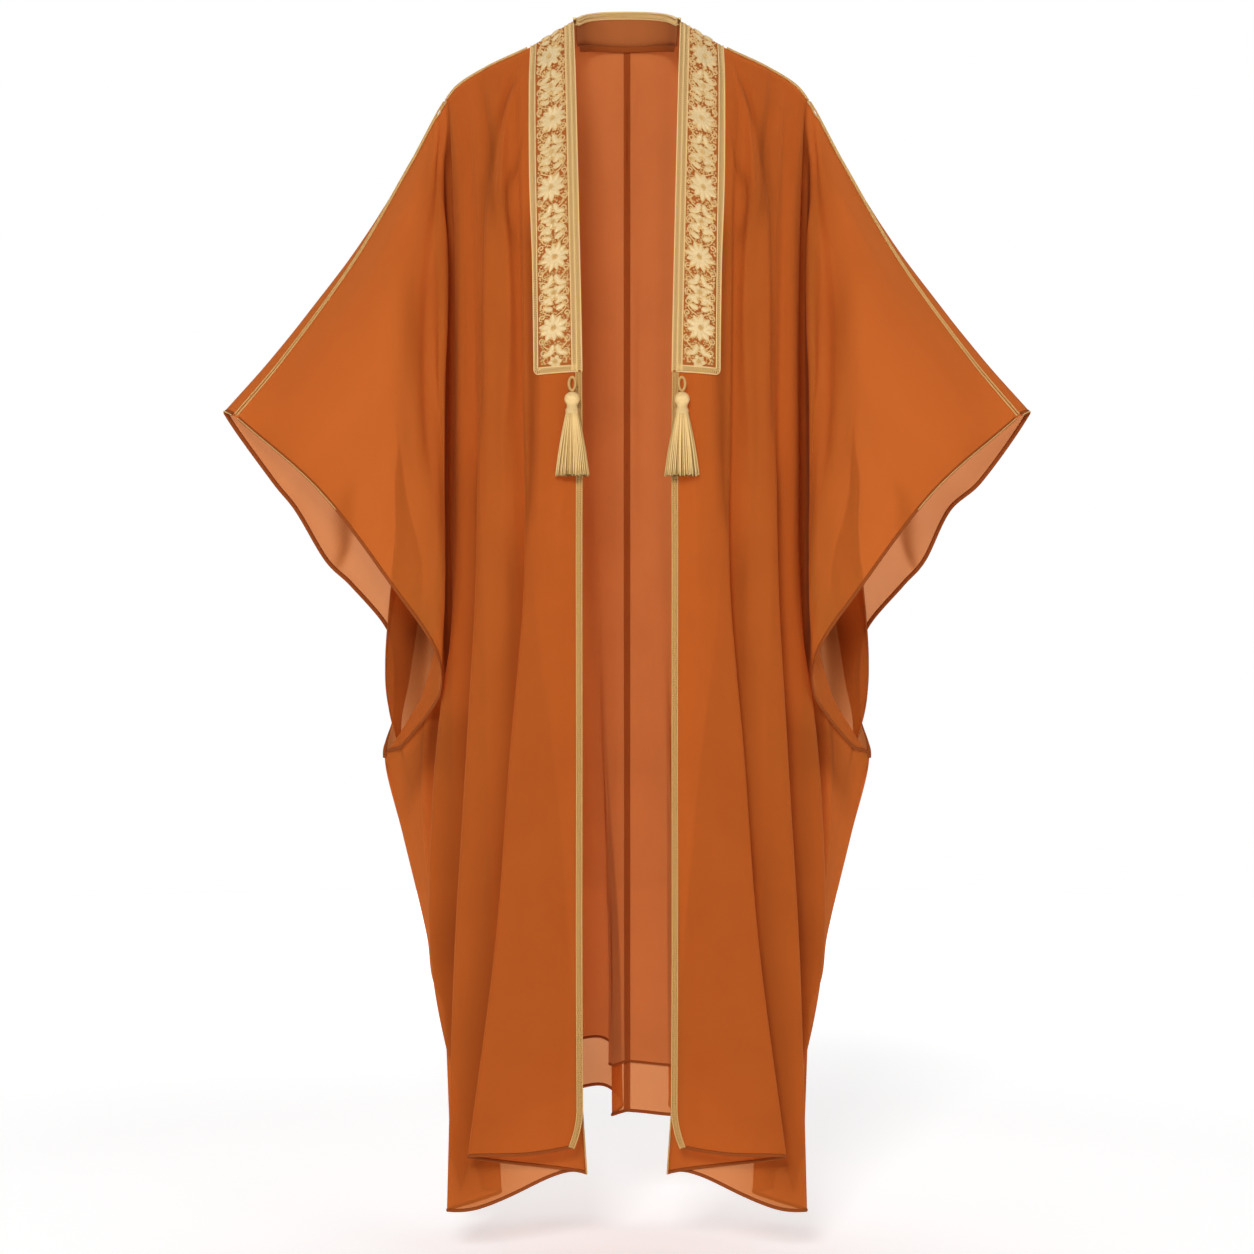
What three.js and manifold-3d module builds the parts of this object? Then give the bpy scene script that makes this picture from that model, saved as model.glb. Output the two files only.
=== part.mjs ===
// Open abaya in sheer georgette with an embroidered neck band, gold braids and two tassels.
//
// Millimetres, +Z up, the front faces -Y. The origin is the nape: the middle of the back neck seam.
// The garment keeps the shape that it has when it is worn, with the arms held out and down.
// Every cloth panel is a wall between two skins. Its shape comes from a table of fold lines:
// each line runs from the top seam to the hem, and the cloth is a smooth surface through them.

import * as THREE from 'three';
import * as BufferGeometryUtils from 'three/addons/utils/BufferGeometryUtils.js';
import Module from 'manifold-3d';

// ---------------------------------------------------------------- driving sizes (mm)

const CLOTH = 1.4;            // wall of the georgette, thicker than the real 0.3 mm cloth
const SEAM_GAP = 0.3;         // parting between two panels at a seam
const FRONT_LENGTH = 1306;    // neck side to hem down the front edge
const BACK_LENGTH = 1288;     // nape to hem down the centre back
const CUFF_END = 0.58;        // share of the length at which the cuff meets the side seam
const ARM_ROLL = 1;           // how far the back cloth stands above the seam over the arm
const EDGE_TRIM = 0.006;      // parting at a side or centre seam, in fold lines
const SIDES = [
  { name: 'left', sign: -1, pleatOut: 0, cuffBend: 0 },
  { name: 'right', sign: 1, pleatOut: 46, cuffBend: 10 },
];

const BAND_WIDTH = 59;        // embroidered band down the front
const BAND_LENGTH = 426;      // neck side to the foot of the band
const BAND_CORNER = 10;       // rounding of the foot's outer corner
const BAND_LEVEL = 13;        // rise of the foot along the cloth at its outer side, which makes it level
const BAND_THICK = 1.2;
const BRAID_WIDTH = 8;        // narrow braid down the front edge
const BRAID_THICK = 1.6;
const CORD_RADIUS = 2.2;      // double cord on the over-arm seam, as one oval cord
const NECK_BRAID = 13;        // braid turned over the top edge of the standing back neck
const FOLD_CORD = 1.1;        // radius of the cord on the inner fold of a front
const LINING = 1;             // wall of the inner layer of the back
const LINING_GAP = 3;         // from the back to its inner layer
const LINING_TOP = 16;        // the inner layer starts this far below the nape
const LINING_SHORT = 62;      // and ends this far above the hem

const COLOURS = {
  georgette: 0xb25521,
  facing: 0xb86a30,
  gold: 0xd0a35e,
  tassel: 0xe2bb78,
};

// ---------------------------------------------------------------- tables of the cut and drape

// The over-arm seam from the neck side to the cuff, by its length from the neck.
const SEAM = [
  { along: 0, out: 62, depth: -52, height: 21 },
  { along: 57, out: 113, depth: -45, height: -8 },
  { along: 120, out: 170, depth: -38, height: -34 },
  { along: 166, out: 207, depth: -34, height: -60 },
  { along: 268, out: 254, depth: -45, height: -145 },
  { along: 404, out: 320, depth: -58, height: -262 },
  { along: 549, out: 404, depth: -68, height: -380 },
  { along: 639, out: 460, depth: -75, height: -448 },
];

// The back neck seam from the nape to the neck side.
const BACK_NECK = [
  { along: 0, out: 0, depth: 0, height: 0 },
  { along: 30, out: 29, depth: -5, height: 2 },
  { along: 60, out: 52, depth: -22, height: 8 },
  { along: 92, out: 62, depth: -52, height: 21 },
];
const NECK_ARC = 92;
const SEAM_END = 639;
// The fronts and backs share corners at these places along the seam, and are straight between them.
const SEAM_JOINTS = [0, 58, 108, 156, 190, 222, 290, 348, 410, 470, 555, SEAM_END];

// The standing back neck, from its middle (0) to the front edge at the neck side (1).
const STAND_FOOT = [
  { at: 0, out: 0, depth: -1.6, height: 0.15 },
  { at: 0.33, out: 26, depth: -8, height: 0 },
  { at: 0.66, out: 46, depth: -27, height: -3 },
  { at: 1, out: 56, depth: -58, height: -10 },
];
const STAND_TOP = [
  { at: 0, out: 0, depth: 7, height: 44 },
  { at: 0.33, out: 28, depth: 1, height: 42 },
  { at: 0.66, out: 48, depth: -20, height: 35 },
  { at: 1, out: 59, depth: -53, height: 23 },
];

// The tassel: where it hangs, its sizes below the top of its head, and the turned head's profile.
const TASSEL = {
  out: 62, depth: -208, height: -429, flat: 0.6, skirtTop: 23, length: 95,
  loop: 17, loopDepth: -198, loopRadius: 1.1,
};
const TASSEL_PROFILE = [
  { down: 0, radius: 0 },
  { down: 1, radius: 4 },
  { down: 5, radius: 8 },
  { down: 10, radius: 8.6 },
  { down: 15, radius: 6.4 },
  { down: 18, radius: 6.2 },
  { down: 20, radius: 7.4 },
  { down: 23, radius: 7.4 },
  { down: 25, radius: 7 },
  { down: 25, radius: 0 },
];
const TASSEL_RINGS = [
  { count: 18, root: 5.6, spread: 17.5, bow: 1.5, turn: 0 },
  { count: 9, root: 2.8, spread: 10, bow: 0.5, turn: 0.5 },
];

// The free edge of a front: cuff from the tip (0) to the underarm, then the side seam to the hem (1).
const FRONT_RIM = [
  { at: 0.00, out: 460, depth: -75, height: -448 },
  { at: 0.13, out: 357, depth: -118, height: -536 },
  { at: 0.27, out: 267, depth: -138, height: -652 },
  { at: 0.36, out: 221, depth: -136, height: -721 },
  { at: 0.42, out: 217, depth: -116, height: -768 },
  { at: 0.47, out: 236, depth: -84, height: -800 },
  { at: 0.53, out: 268, depth: -44, height: -836 },
  { at: 0.58, out: 289, depth: -15, height: -851 },
  { at: 0.66, out: 268, depth: -4, height: -944 },
  { at: 0.76, out: 240, depth: 4, height: -1064 },
  { at: 0.82, out: 233, depth: 6, height: -1118 },
  { at: 0.86, out: 217, depth: 8, height: -1156 },
  { at: 0.90, out: 210, depth: 10, height: -1206 },
  { at: 1.00, out: 200, depth: 10, height: -1374 },
];

// The cuff of a back. It folds in behind itself above the underarm, and then shares the side seam.
const BACK_CUFF = [
  { at: 0.00, out: 460, depth: -75, height: -448 },
  { at: 0.02, out: 475, depth: -56, height: -443 },
  { at: 0.10, out: 420, depth: -34, height: -523 },
  { at: 0.15, out: 394, depth: -25, height: -556, bend: 1 },
  { at: 0.21, out: 360, depth: -8, height: -615, bend: 0.4 },
  { at: 0.27, out: 331, depth: 0, height: -644 },
  { at: 0.34, out: 290, depth: 16, height: -693 },
  { at: 0.41, out: 281, depth: 38, height: -730 },
  { at: 0.49, out: 282, depth: 26, height: -797 },
];

// Heights at which the fold tables give [out, depth], as shares of the length.
const STATIONS = { collar: 0.05, chest: 0.165, waist: 0.35, hip: 0.5, thigh: 0.66, knee: 0.82, hem: 1 };

// Fold lines of a front between its front edge and the sleeve. "hang" is how far the hem drops
// below the straight line, "along" is where the line leaves the top seam.
const FRONT_FOLDS = [
  { line: 'front edge', along: 0, hang: 0, curl: 11, collar: [60, -102], chest: [56, -163], waist: [51, -190],
    hip: [51, -188], thigh: [51, -186], knee: [51, -189], hem: [50, -190] },
  { line: 'first layer', along: 26, hang: 3, collar: [86, -103], chest: [84, -166], waist: [80, -194],
    hip: [82, -195], thigh: [90, -198], knee: [98, -201], hem: [112, -204] },
  { line: 'first edge', along: 58, hang: 4, collar: [118, -98], chest: [115, -162], waist: [113, -186],
    hip: [116, -190], thigh: [133, -192], knee: [149, -195], hem: [178, -198] },
  { line: 'behind first', along: 78, hang: 30, collar: [134, -90], chest: [126, -148], waist: [118, -164],
    hip: [106, -162], thigh: [82, -158], knee: [64, -154], hem: [47, -152] },
  { line: 'second layer', along: 104, hang: 44, collar: [152, -90], chest: [146, -152], waist: [144, -168],
    hip: [140, -168], thigh: [134, -166], knee: [126, -164], hem: [118, -164] },
  { line: 'second edge', along: 132, hang: 69, collar: [176, -84], chest: [168, -141], waist: [170, -156],
    hip: [174, -158], thigh: [186, -156], knee: [199, -152], hem: [206, -150] },
  { line: 'behind second', along: 150, hang: 56, collar: [186, -74], chest: [178, -118], waist: [174, -122],
    hip: [167, -120], thigh: [160, -114], knee: [154, -108], hem: [146, -102] },
  { line: 'third edge', along: 168, hang: 52, collar: [202, -70], chest: [196, -110], waist: [198, -110],
    hip: [202, -106], thigh: [224, -98], knee: [224, -92], hem: [170, -86] },
  { line: 'underarm', along: 190, hang: 40, collar: [214, -54], chest: [207, -58], waist: [208, -40],
    hip: [208, -36], thigh: [206, -40], knee: [198, -44], hem: [166, -42] },
  { line: 'sleeve roll', along: 222, hang: 30, collar: [229, -74], chest: [214, -100], waist: [212, -116],
    hip: [216, -104], thigh: [238, -52], knee: [222, -28], hem: [188, -18] },
];

// How far the hem dips between two of those lines, counted from the front edge.
const HEM_DIP = [
  { line: 3, dip: 0 },
  { line: 3.5, dip: -11 },
  { line: 4, dip: 0 },
  { line: 4.5, dip: 7 },
  { line: 5, dip: 0 },
];

// Fold lines of the front sleeve, between the sleeve roll and the free edge.
const FRONT_SLEEVE = [
  { line: 'inner trough', along: 290, share: 0.2, collar: [0, -16], chest: [0, -4], waist: [0, -2],
    hip: [0, -2], thigh: [0, -2], knee: [0, 0], hem: [0, 0] },
  { line: 'broad field', along: 400, share: 0.45, collar: [0, -26], chest: [0, -26], waist: [0, -14],
    hip: [0, -5], thigh: [0, -3], knee: [0, 0], hem: [0, 0] },
  { line: 'outer field', along: 520, share: 0.73, collar: [0, -24], chest: [0, -18], waist: [0, -8],
    hip: [0, -2], thigh: [0, 0], knee: [0, 0], hem: [0, 0] },
];

// Fold lines of a back between its centre seam and the sleeve, with the pleat beside the centre seam.
const BACK_FOLDS = [
  { line: 'centre back', pleat: 0, along: 0, hang: 0, collar: [0, 24], chest: [0, 47], waist: [0, 60],
    hip: [0, 67], thigh: [0, 71], knee: [0, 73], hem: [0, 74] },
  { line: 'pleat edge', pleat: 1, along: 26, hang: 4, collar: [26, 23], chest: [26, 48], waist: [26, 62],
    hip: [26, 66], thigh: [24, 66], knee: [21, 66], hem: [19, 66] },
  { line: 'pleat back', pleat: 1, along: 56, hang: -6, collar: [50, 16], chest: [52, 47], waist: [50, 61],
    hip: [44, 68], thigh: [30, 77], knee: [12, 84], hem: [5, 87] },
  { line: 'behind pleat', pleat: 1, along: 86, hang: -24, collar: [70, 4], chest: [80, 42], waist: [80, 54],
    hip: [76, 64], thigh: [62, 84], knee: [42, 98], hem: [34, 104] },
  { line: 'back ridge', pleat: 0.3, along: 150, hang: -8, collar: [120, -2], chest: [122, 48],
    waist: [124, 68], hip: [124, 84], thigh: [118, 94], knee: [112, 100], hem: [104, 106] },
  { line: 'back trough', pleat: 0, along: 200, hang: 6, collar: [166, -8], chest: [160, 26], waist: [156, 34],
    hip: [156, 42], thigh: [152, 50], knee: [146, 58], hem: [142, 64] },
  { line: 'side ridge', pleat: 0, along: 248, hang: 20, collar: [204, -10], chest: [196, 32],
    waist: [196, 46], hip: [200, 58], thigh: [204, 66], knee: [200, 70], hem: [192, 74] },
  { line: 'underarm', pleat: 0, along: 300, hang: 26, collar: [232, -22], chest: [222, 2], waist: [222, 6],
    hip: [226, 12], thigh: [232, 26], knee: [222, 36], hem: [212, 40] },
];

// Fold lines of the back sleeve. "in" moves a line towards the body, after its share of the way.
const BACK_SLEEVE = [
  { line: 'inner field', along: 370, share: 0.3, collar: [0, 18], chest: [0, 22], waist: [0, 16],
    hip: [0, 8], thigh: [0, 6], knee: [0, 0], hem: [0, 0] },
  { line: 'pleat crest', along: 440, share: 0.52, collar: [0, 20], chest: [-2, 12], waist: [30, -16],
    hip: [36, -24], thigh: [0, 2], knee: [0, 0], hem: [0, 0] },
  { line: 'pleat fold', along: 500, share: 0.66, collar: [0, 18], chest: [-4, 20], waist: [-8, 10],
    hip: [2, 6], thigh: [0, 2], knee: [0, 0], hem: [0, 0] },
  { line: 'outer field', along: 610, share: 0.84, collar: [0, 12], chest: [0, 12], waist: [-4, 12],
    hip: [0, 4], thigh: [0, 0], knee: [0, 0], hem: [0, 0] },
];

// ---------------------------------------------------------------- curves through tables

const clamp01 = (t) => Math.min(1, Math.max(0, t));
const smooth = (t) => clamp01(t) ** 2 * (3 - 2 * clamp01(t));
const mix = THREE.MathUtils.lerp;

// A smooth curve through the values of one column, against another column.
function through(knots, values) {
  const slopes = values.map((_, i) => {
    const before = Math.max(0, i - 1);
    const after = Math.min(values.length - 1, i + 1);
    return (values[after] - values[before]) / (knots[after] - knots[before]);
  });
  return (t) => {
    let i = 0;
    while (i < knots.length - 2 && t > knots[i + 1]) i += 1;
    const span = knots[i + 1] - knots[i];
    const s = clamp01((t - knots[i]) / span);
    const leave = s * (1 - s) * (1 - s) * span * slopes[i];
    const arrive = s * s * (s - 1) * span * slopes[i + 1];
    return mix(values[i], values[i + 1], s * s * (3 - 2 * s)) + leave + arrive;
  };
}

// A space curve through the rows of a table with out, depth and height columns.
function spaceCurve(rows, key) {
  const knots = rows.map((row) => row[key]);
  const column = (name) => through(knots, rows.map((row) => row[name]));
  const [out, depth, height] = ['out', 'depth', 'height'].map(column);
  return (t) => new THREE.Vector3(out(t), depth(t), height(t));
}

// One number of a fold line, from its value on the seam through its stations to the hem.
function stationCurve(row, seamValue, pick) {
  const names = Object.keys(STATIONS);
  const knots = [0, ...names.map((name) => STATIONS[name])];
  return through(knots, [seamValue, ...names.map((name) => pick(row[name]))]);
}

const seamCurve = spaceCurve(SEAM, 'along');

// The seam as the panels meet it: straight from joint to joint.
function seamAt(along) {
  const after = Math.max(1, SEAM_JOINTS.findIndex((joint) => joint >= along));
  const [from, to] = [SEAM_JOINTS[after - 1], SEAM_JOINTS[after]];
  return seamCurve(from).lerp(seamCurve(to), (along - from) / (to - from));
}

const backNeckAt = spaceCurve(BACK_NECK, 'along');
const backTopAt = (along) => (along <= NECK_ARC ? backNeckAt(along) : seamAt(along - NECK_ARC));
const sideSeam = FRONT_RIM.filter((row) => row.at >= CUFF_END);

// ---------------------------------------------------------------- the draped surfaces

const CURL_FROM = 0.965;      // the foot of the front edge turns outwards below this share
const HANG_FROM = 0.35;       // the hem lines drop unevenly below this share
const DIP_FROM = 0.82;        // the hem dips between the lines below this share
const ONTO_SEAM = 0.1;        // the top row is drawn onto the seam over this share
const OVER_ARM = 0.06;        // the back cloth's stand above the arm seam ends at this share

// A panel is a set of lines, each a function of v from the top seam (0) to the hem (1). The
// surface between them is a smooth curve across, with u counted in lines from the middle.
function drapedPanel({ topAt, end, rim, folds, sleeve, length, dips, roll = 0 }) {
  const rimAt = spaceCurve(rim, 'at');
  const topHeight = topAt(0).z;
  const tip = rimAt(0);
  const body = folds.map((row) => {
    const start = topAt(row.along);
    const out = stationCurve(row, start.x, (value) => value[0]);
    const depth = stationCurve(row, start.y, (value) => value[1]);
    const share = (topHeight - start.z) / (topHeight - tip.z);
    return (v) => {
      const fall = mix(topHeight - length * v, rimAt(v).z, share);
      const curl = (row.curl ?? 0) * smooth((v - CURL_FROM) / (1 - CURL_FROM));
      const hang = row.hang * smooth((v - HANG_FROM) / (1 - HANG_FROM));
      return new THREE.Vector3(out(v) + curl, depth(v), fall - hang);
    };
  });
  const root = body[body.length - 1];
  const rootStart = root(0);
  const arm = sleeve.map((row) => {
    const start = topAt(row.along);
    const bow = start.clone().sub(rootStart.clone().lerp(tip, row.share));
    const inward = stationCurve(row, 0, (value) => value[0]);
    const forward = stationCurve(row, 0, (value) => value[1]);
    const over = new THREE.Vector3(0.8, 0.2, 0.6).multiplyScalar(roll);
    return (v) => {
      const point = root(v).lerp(rimAt(v), row.share);
      point.addScaledVector(bow, (1 - clamp01(v / CUFF_END)) ** 2);
      point.addScaledVector(over, Math.sin(Math.PI * clamp01(v / OVER_ARM)));
      return point.add(new THREE.Vector3(inward(v), forward(v), 0));
    };
  });
  const lines = [...body, ...arm, rimAt];
  const knots = lines.map((_, i) => i);
  const between = (u, v) => {
    const points = lines.map((line) => line(v));
    const axis = (name) => through(knots, points.map((point) => point[name]))(u);
    return new THREE.Vector3(axis('x'), axis('y'), axis('z'));
  };
  const alongOf = through(knots, [...folds, ...sleeve].map((row) => row.along).concat(end));
  const dipAt = through(dips.map((row) => row.line), dips.map((row) => row.dip));
  const surface = (u, v) => {
    const onto = topAt(alongOf(u)).sub(between(u, 0));
    const point = between(u, v).addScaledVector(onto, (1 - clamp01(v / ONTO_SEAM)) ** 2);
    point.z -= dipAt(u) * smooth((v - DIP_FROM) / (1 - DIP_FROM));
    return point;
  };
  surface.last = lines.length - 1;
  surface.uOf = (along) => inverse(alongOf, along, 0, surface.last);
  return surface;
}

// The place between low and high where a rising curve reaches a value.
function inverse(curve, value, low, high) {
  for (let i = 0; i < 40; i += 1) {
    const middle = (low + high) / 2;
    if (curve(middle) < value) low = middle;
    else high = middle;
  }
  return (low + high) / 2;
}

// The outward normal of a panel: away from the wearer.
function outwardAt(surface, u, v) {
  const eps = 1e-3;
  const u0 = Math.max(0, u - eps);
  const u1 = Math.min(surface.last, u + eps);
  const v0 = Math.max(0, v - eps);
  const v1 = Math.min(1, v + eps);
  const across = surface(u1, v).sub(surface(u0, v));
  const down = surface(u, v1).sub(surface(u, v0));
  return across.cross(down).normalize().multiplyScalar(surface.facing);
}

const lifted = (surface, u, v, lift) => surface(u, v).addScaledVector(outwardAt(surface, u, v), lift);

// The front of one side. Both fronts share one table.
const frontSurface = drapedPanel({
  topAt: seamAt,
  end: SEAM_END,
  rim: FRONT_RIM,
  folds: FRONT_FOLDS,
  sleeve: FRONT_SLEEVE,
  length: FRONT_LENGTH,
  dips: HEM_DIP,
});
frontSurface.facing = -1;

// The back of one side, with its pleat moved out from the centre seam and its own bend in the cuff.
function backOf({ pleatOut, cuffBend }) {
  const folds = BACK_FOLDS.map((row) => {
    const moved = { ...row };
    for (const name of ['hip', 'thigh', 'knee', 'hem']) {
      const share = row.pleat * smooth((STATIONS[name] - STATIONS.waist) / (1 - STATIONS.waist));
      moved[name] = [row[name][0] + pleatOut * share, row[name][1]];
    }
    return moved;
  });
  const cuff = BACK_CUFF.map((row) => ({ ...row, out: row.out - cuffBend * (row.bend ?? 0) }));
  const surface = drapedPanel({
    topAt: backTopAt,
    end: NECK_ARC + SEAM_END,
    rim: [...cuff, ...sideSeam],
    folds,
    sleeve: BACK_SLEEVE,
    length: BACK_LENGTH,
    dips: [{ line: 0, dip: 0 }, { line: 1, dip: 0 }],
    roll: ARM_ROLL,
  });
  surface.facing = 1;
  return surface;
}

// ---------------------------------------------------------------- solids

const steps = (from, to, count) => Array.from({ length: count + 1 }, (_, i) => mix(from, to, i / count));

// A geometry whose faces point out, whichever way its corners were listed.
function closed(positions, index) {
  let volume = 0;
  const at = (i) => new THREE.Vector3().fromArray(positions, 3 * i);
  for (let i = 0; i < index.length; i += 3) {
    volume += at(index[i]).dot(at(index[i + 1]).cross(at(index[i + 2])));
  }
  const flipped = index.map((_, i) => index[i - (i % 3) + [0, 2, 1][i % 3]]);
  const geometry = new THREE.BufferGeometry();
  geometry.setAttribute('position', new THREE.Float32BufferAttribute(positions, 3));
  geometry.setIndex(volume > 0 ? index : flipped);
  geometry.computeVertexNormals();
  return geometry;
}

// A closed wall over a grid of places: skin(0, s, t) is its inner skin and skin(1, s, t) its outer one.
function wall(skin, across, down) {
  const columns = across.length;
  const rows = down.length;
  const positions = [];
  for (const layer of [0, 1]) {
    for (const t of down) {
      for (const s of across) positions.push(...skin(layer, s, t).toArray());
    }
  }
  const index = [];
  const quad = (a, b, c, d) => index.push(a, b, c, a, c, d);
  const id = (layer, r, c) => (layer * rows + r) * columns + c;
  for (let r = 0; r < rows - 1; r += 1) {
    for (let c = 0; c < columns - 1; c += 1) {
      quad(id(0, r, c), id(0, r, c + 1), id(0, r + 1, c + 1), id(0, r + 1, c));
      quad(id(1, r, c), id(1, r + 1, c), id(1, r + 1, c + 1), id(1, r, c + 1));
    }
    const last = columns - 1;
    quad(id(0, r, 0), id(0, r + 1, 0), id(1, r + 1, 0), id(1, r, 0));
    quad(id(0, r, last), id(1, r, last), id(1, r + 1, last), id(0, r + 1, last));
  }
  for (let c = 0; c < columns - 1; c += 1) {
    const last = rows - 1;
    quad(id(0, 0, c), id(1, 0, c), id(1, 0, c + 1), id(0, 0, c + 1));
    quad(id(0, last, c), id(0, last, c + 1), id(1, last, c + 1), id(1, last, c));
  }
  return closed(positions, index);
}

// A rod along a path with an oval section. "frame" gives the two half axes at a place.
function rod(centre, halfAxes, places, sides, loop = false) {
  const positions = [];
  for (const t of places) {
    const [wide, high] = halfAxes(t);
    for (let i = 0; i < sides; i += 1) {
      const angle = (2 * Math.PI * i) / sides;
      const point = centre(t).addScaledVector(wide, Math.cos(angle)).addScaledVector(high, Math.sin(angle));
      positions.push(...point.toArray());
    }
  }
  const index = [];
  const rings = places.length;
  for (let r = 0; r < (loop ? rings : rings - 1); r += 1) {
    for (let i = 0; i < sides; i += 1) {
      const next = (i + 1) % sides;
      const a = r * sides + i;
      const b = r * sides + next;
      const c = ((r + 1) % rings) * sides + next;
      const d = ((r + 1) % rings) * sides + i;
      index.push(a, b, c, a, c, d);
    }
  }
  if (!loop) {
    for (let i = 1; i < sides - 1; i += 1) {
      index.push(0, i + 1, i);
      const last = (rings - 1) * sides;
      index.push(last, last + i, last + i + 1);
    }
  }
  return closed(positions, index);
}

// Turns a geometry of the wearer's +X side into the one of the named side.
function sided(geometry, sign) {
  if (sign > 0) return geometry;
  const positions = Array.from(geometry.attributes.position.array);
  for (let i = 0; i < positions.length; i += 3) positions[i] = -positions[i];
  return closed(positions, Array.from(geometry.index.array));
}

// ---------------------------------------------------------------- the pieces

const SEAM_ROWS = [0.58, 0.66, 0.76, 0.82, 0.88, 0.93, 0.97, 1];
const FRONT_ROWS = [0, 0.02, 0.05, 0.1, 0.165, 0.24, 0.32, 0.36, 0.4, 0.43, 0.46, 0.49, 0.53, ...SEAM_ROWS];
const BACK_ROWS = [0, 0.015, 0.03, 0.06, 0.13, 0.2, 0.27, 0.34, 0.38, 0.43, 0.49, 0.54, ...SEAM_ROWS];

// Cuts down a panel, counted in fold lines: every joint of the seam, and close over tight folds.
const CLOSEST_CUTS = 0.07;
const MORE_FRONT_CUTS = [...steps(0, 9, 27), 9.5, 11, 12.5];
const MORE_BACK_CUTS = [...steps(0, 4, 10), 4.5, 5, 5.5, 6, 7, 8, 8.6, 9, 9.4, 10, 11];
const LINING_COLUMNS = [0.03, ...steps(0.4, 4, 9), 4.5, 5, 5.5, 6, 6.5];

function columnsOf(surface, joints, more) {
  const kept = joints.map(surface.uOf);
  const places = [...kept, ...more].sort((a, b) => a - b);
  return places.filter((u, i) => i === 0 || u - places[i - 1] > CLOSEST_CUTS || kept.includes(u));
}
const FRONT_COLUMNS = columnsOf(frontSurface, SEAM_JOINTS, MORE_FRONT_CUTS);

// A panel keeps half a seam gap clear of every seam that it shares.
function panelWall(surface, columns, rows) {
  const half = SEAM_GAP / 2;
  const trim = (v) => Math.max(v, half / FRONT_LENGTH);
  const inset = (u) => THREE.MathUtils.clamp(u, surface.firstU ?? 0, surface.last - EDGE_TRIM);
  const skin = (layer, u, v) => {
    const point = lifted(surface, inset(u), trim(v), half + layer * CLOTH);
    if (u > surface.last - EDGE_TRIM && v >= CUFF_END) point.y += surface.facing * SEAM_GAP;
    return point;
  };
  return wall(skin, columns, rows);
}

// The braid and the band lie on a front's flat facets, so they are placed between its corners.
const ON_FRONT = SEAM_GAP / 2 + CLOTH + SEAM_GAP;

function onFront(u, v, lift) {
  const cell = (places, t) => Math.max(0, places.findIndex((place) => place > t) - 1);
  const c = u >= frontSurface.last ? FRONT_COLUMNS.length - 2 : cell(FRONT_COLUMNS, u);
  const r = v >= 1 ? FRONT_ROWS.length - 2 : cell(FRONT_ROWS, v);
  const share = (places, i, t) => (t - places[i]) / (places[i + 1] - places[i]);
  const corner = (i, k) => lifted(frontSurface, FRONT_COLUMNS[i], FRONT_ROWS[k], lift);
  const across = share(FRONT_COLUMNS, c, u);
  const upper = corner(c, r).lerp(corner(c + 1, r), across);
  const lower = corner(c, r + 1).lerp(corner(c + 1, r + 1), across);
  return upper.lerp(lower, share(FRONT_ROWS, r, v));
}

// Where a distance from the front edge falls in u, by measuring along the cloth.
function uFromEdge(distance, v) {
  const step = 0.02;
  let u = 0;
  let walked = 0;
  let last = frontSurface(0, v);
  while (walked < distance) {
    u += step;
    const next = frontSurface(u, v);
    walked += next.distanceTo(last);
    last = next;
  }
  return u;
}

function neckBand() {
  const foot = BAND_LENGTH / FRONT_LENGTH;
  const rounding = (u, v) => clamp01((u - uFromEdge(BAND_WIDTH - BAND_CORNER, v)) / 0.4);
  const inside = FRONT_COLUMNS.filter((u) => u < uFromEdge(BAND_WIDTH, foot) - 0.05);
  const outer = uFromEdge(BAND_WIDTH, foot);
  const skin = (layer, column, row) => {
    const v = Math.min(row, foot);
    const u = column < inside.length ? inside[column] : uFromEdge(BAND_WIDTH, v);
    const corner = BAND_CORNER * (1 - Math.sqrt(1 - rounding(u, v) ** 2));
    const lift = (corner + BAND_LEVEL * clamp01(u / outer)) / FRONT_LENGTH;
    const place = row > foot ? foot - lift : Math.max(v, SEAM_GAP / FRONT_LENGTH);
    return onFront(u, place, ON_FRONT + layer * BAND_THICK);
  };
  const rows = [...FRONT_ROWS.filter((v) => v < foot - 2 * BAND_LEVEL / FRONT_LENGTH), 2];
  return wall(skin, steps(0, inside.length, inside.length), rows);
}

function edgeBraid() {
  const from = (BAND_LENGTH + 1) / FRONT_LENGTH;
  const skin = (layer, s, v) => onFront(s * uFromEdge(BRAID_WIDTH, v), v, ON_FRONT + layer * BRAID_THICK);
  return wall(skin, [0, 1], [from, ...FRONT_ROWS.filter((v) => v > from)]);
}

// The cord on the inner fold of a front, where the fold shows beside the front edge near the hem.
const FOLD_CORD_TOP = 0.9;
function foldCord() {
  const line = FRONT_FOLDS.findIndex((row) => row.line === 'behind first');
  const centre = (v) => lifted(frontSurface, line, v, -FOLD_CORD - SEAM_GAP);
  const halfAxes = () => [new THREE.Vector3(FOLD_CORD, 0, 0), new THREE.Vector3(0, FOLD_CORD, 0)];
  return rod(centre, halfAxes, steps(FOLD_CORD_TOP, 1, 6), 6);
}

// The inner layer of the back follows it from below the neck, and ends above its hem.
function backLining(back) {
  const skin = (layer, u, v) => lifted(back, u, v, -LINING_GAP - (1 - layer) * LINING);
  return wall(skin, LINING_COLUMNS, steps(LINING_TOP / BACK_LENGTH, 1 - LINING_SHORT / BACK_LENGTH, 11));
}

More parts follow.
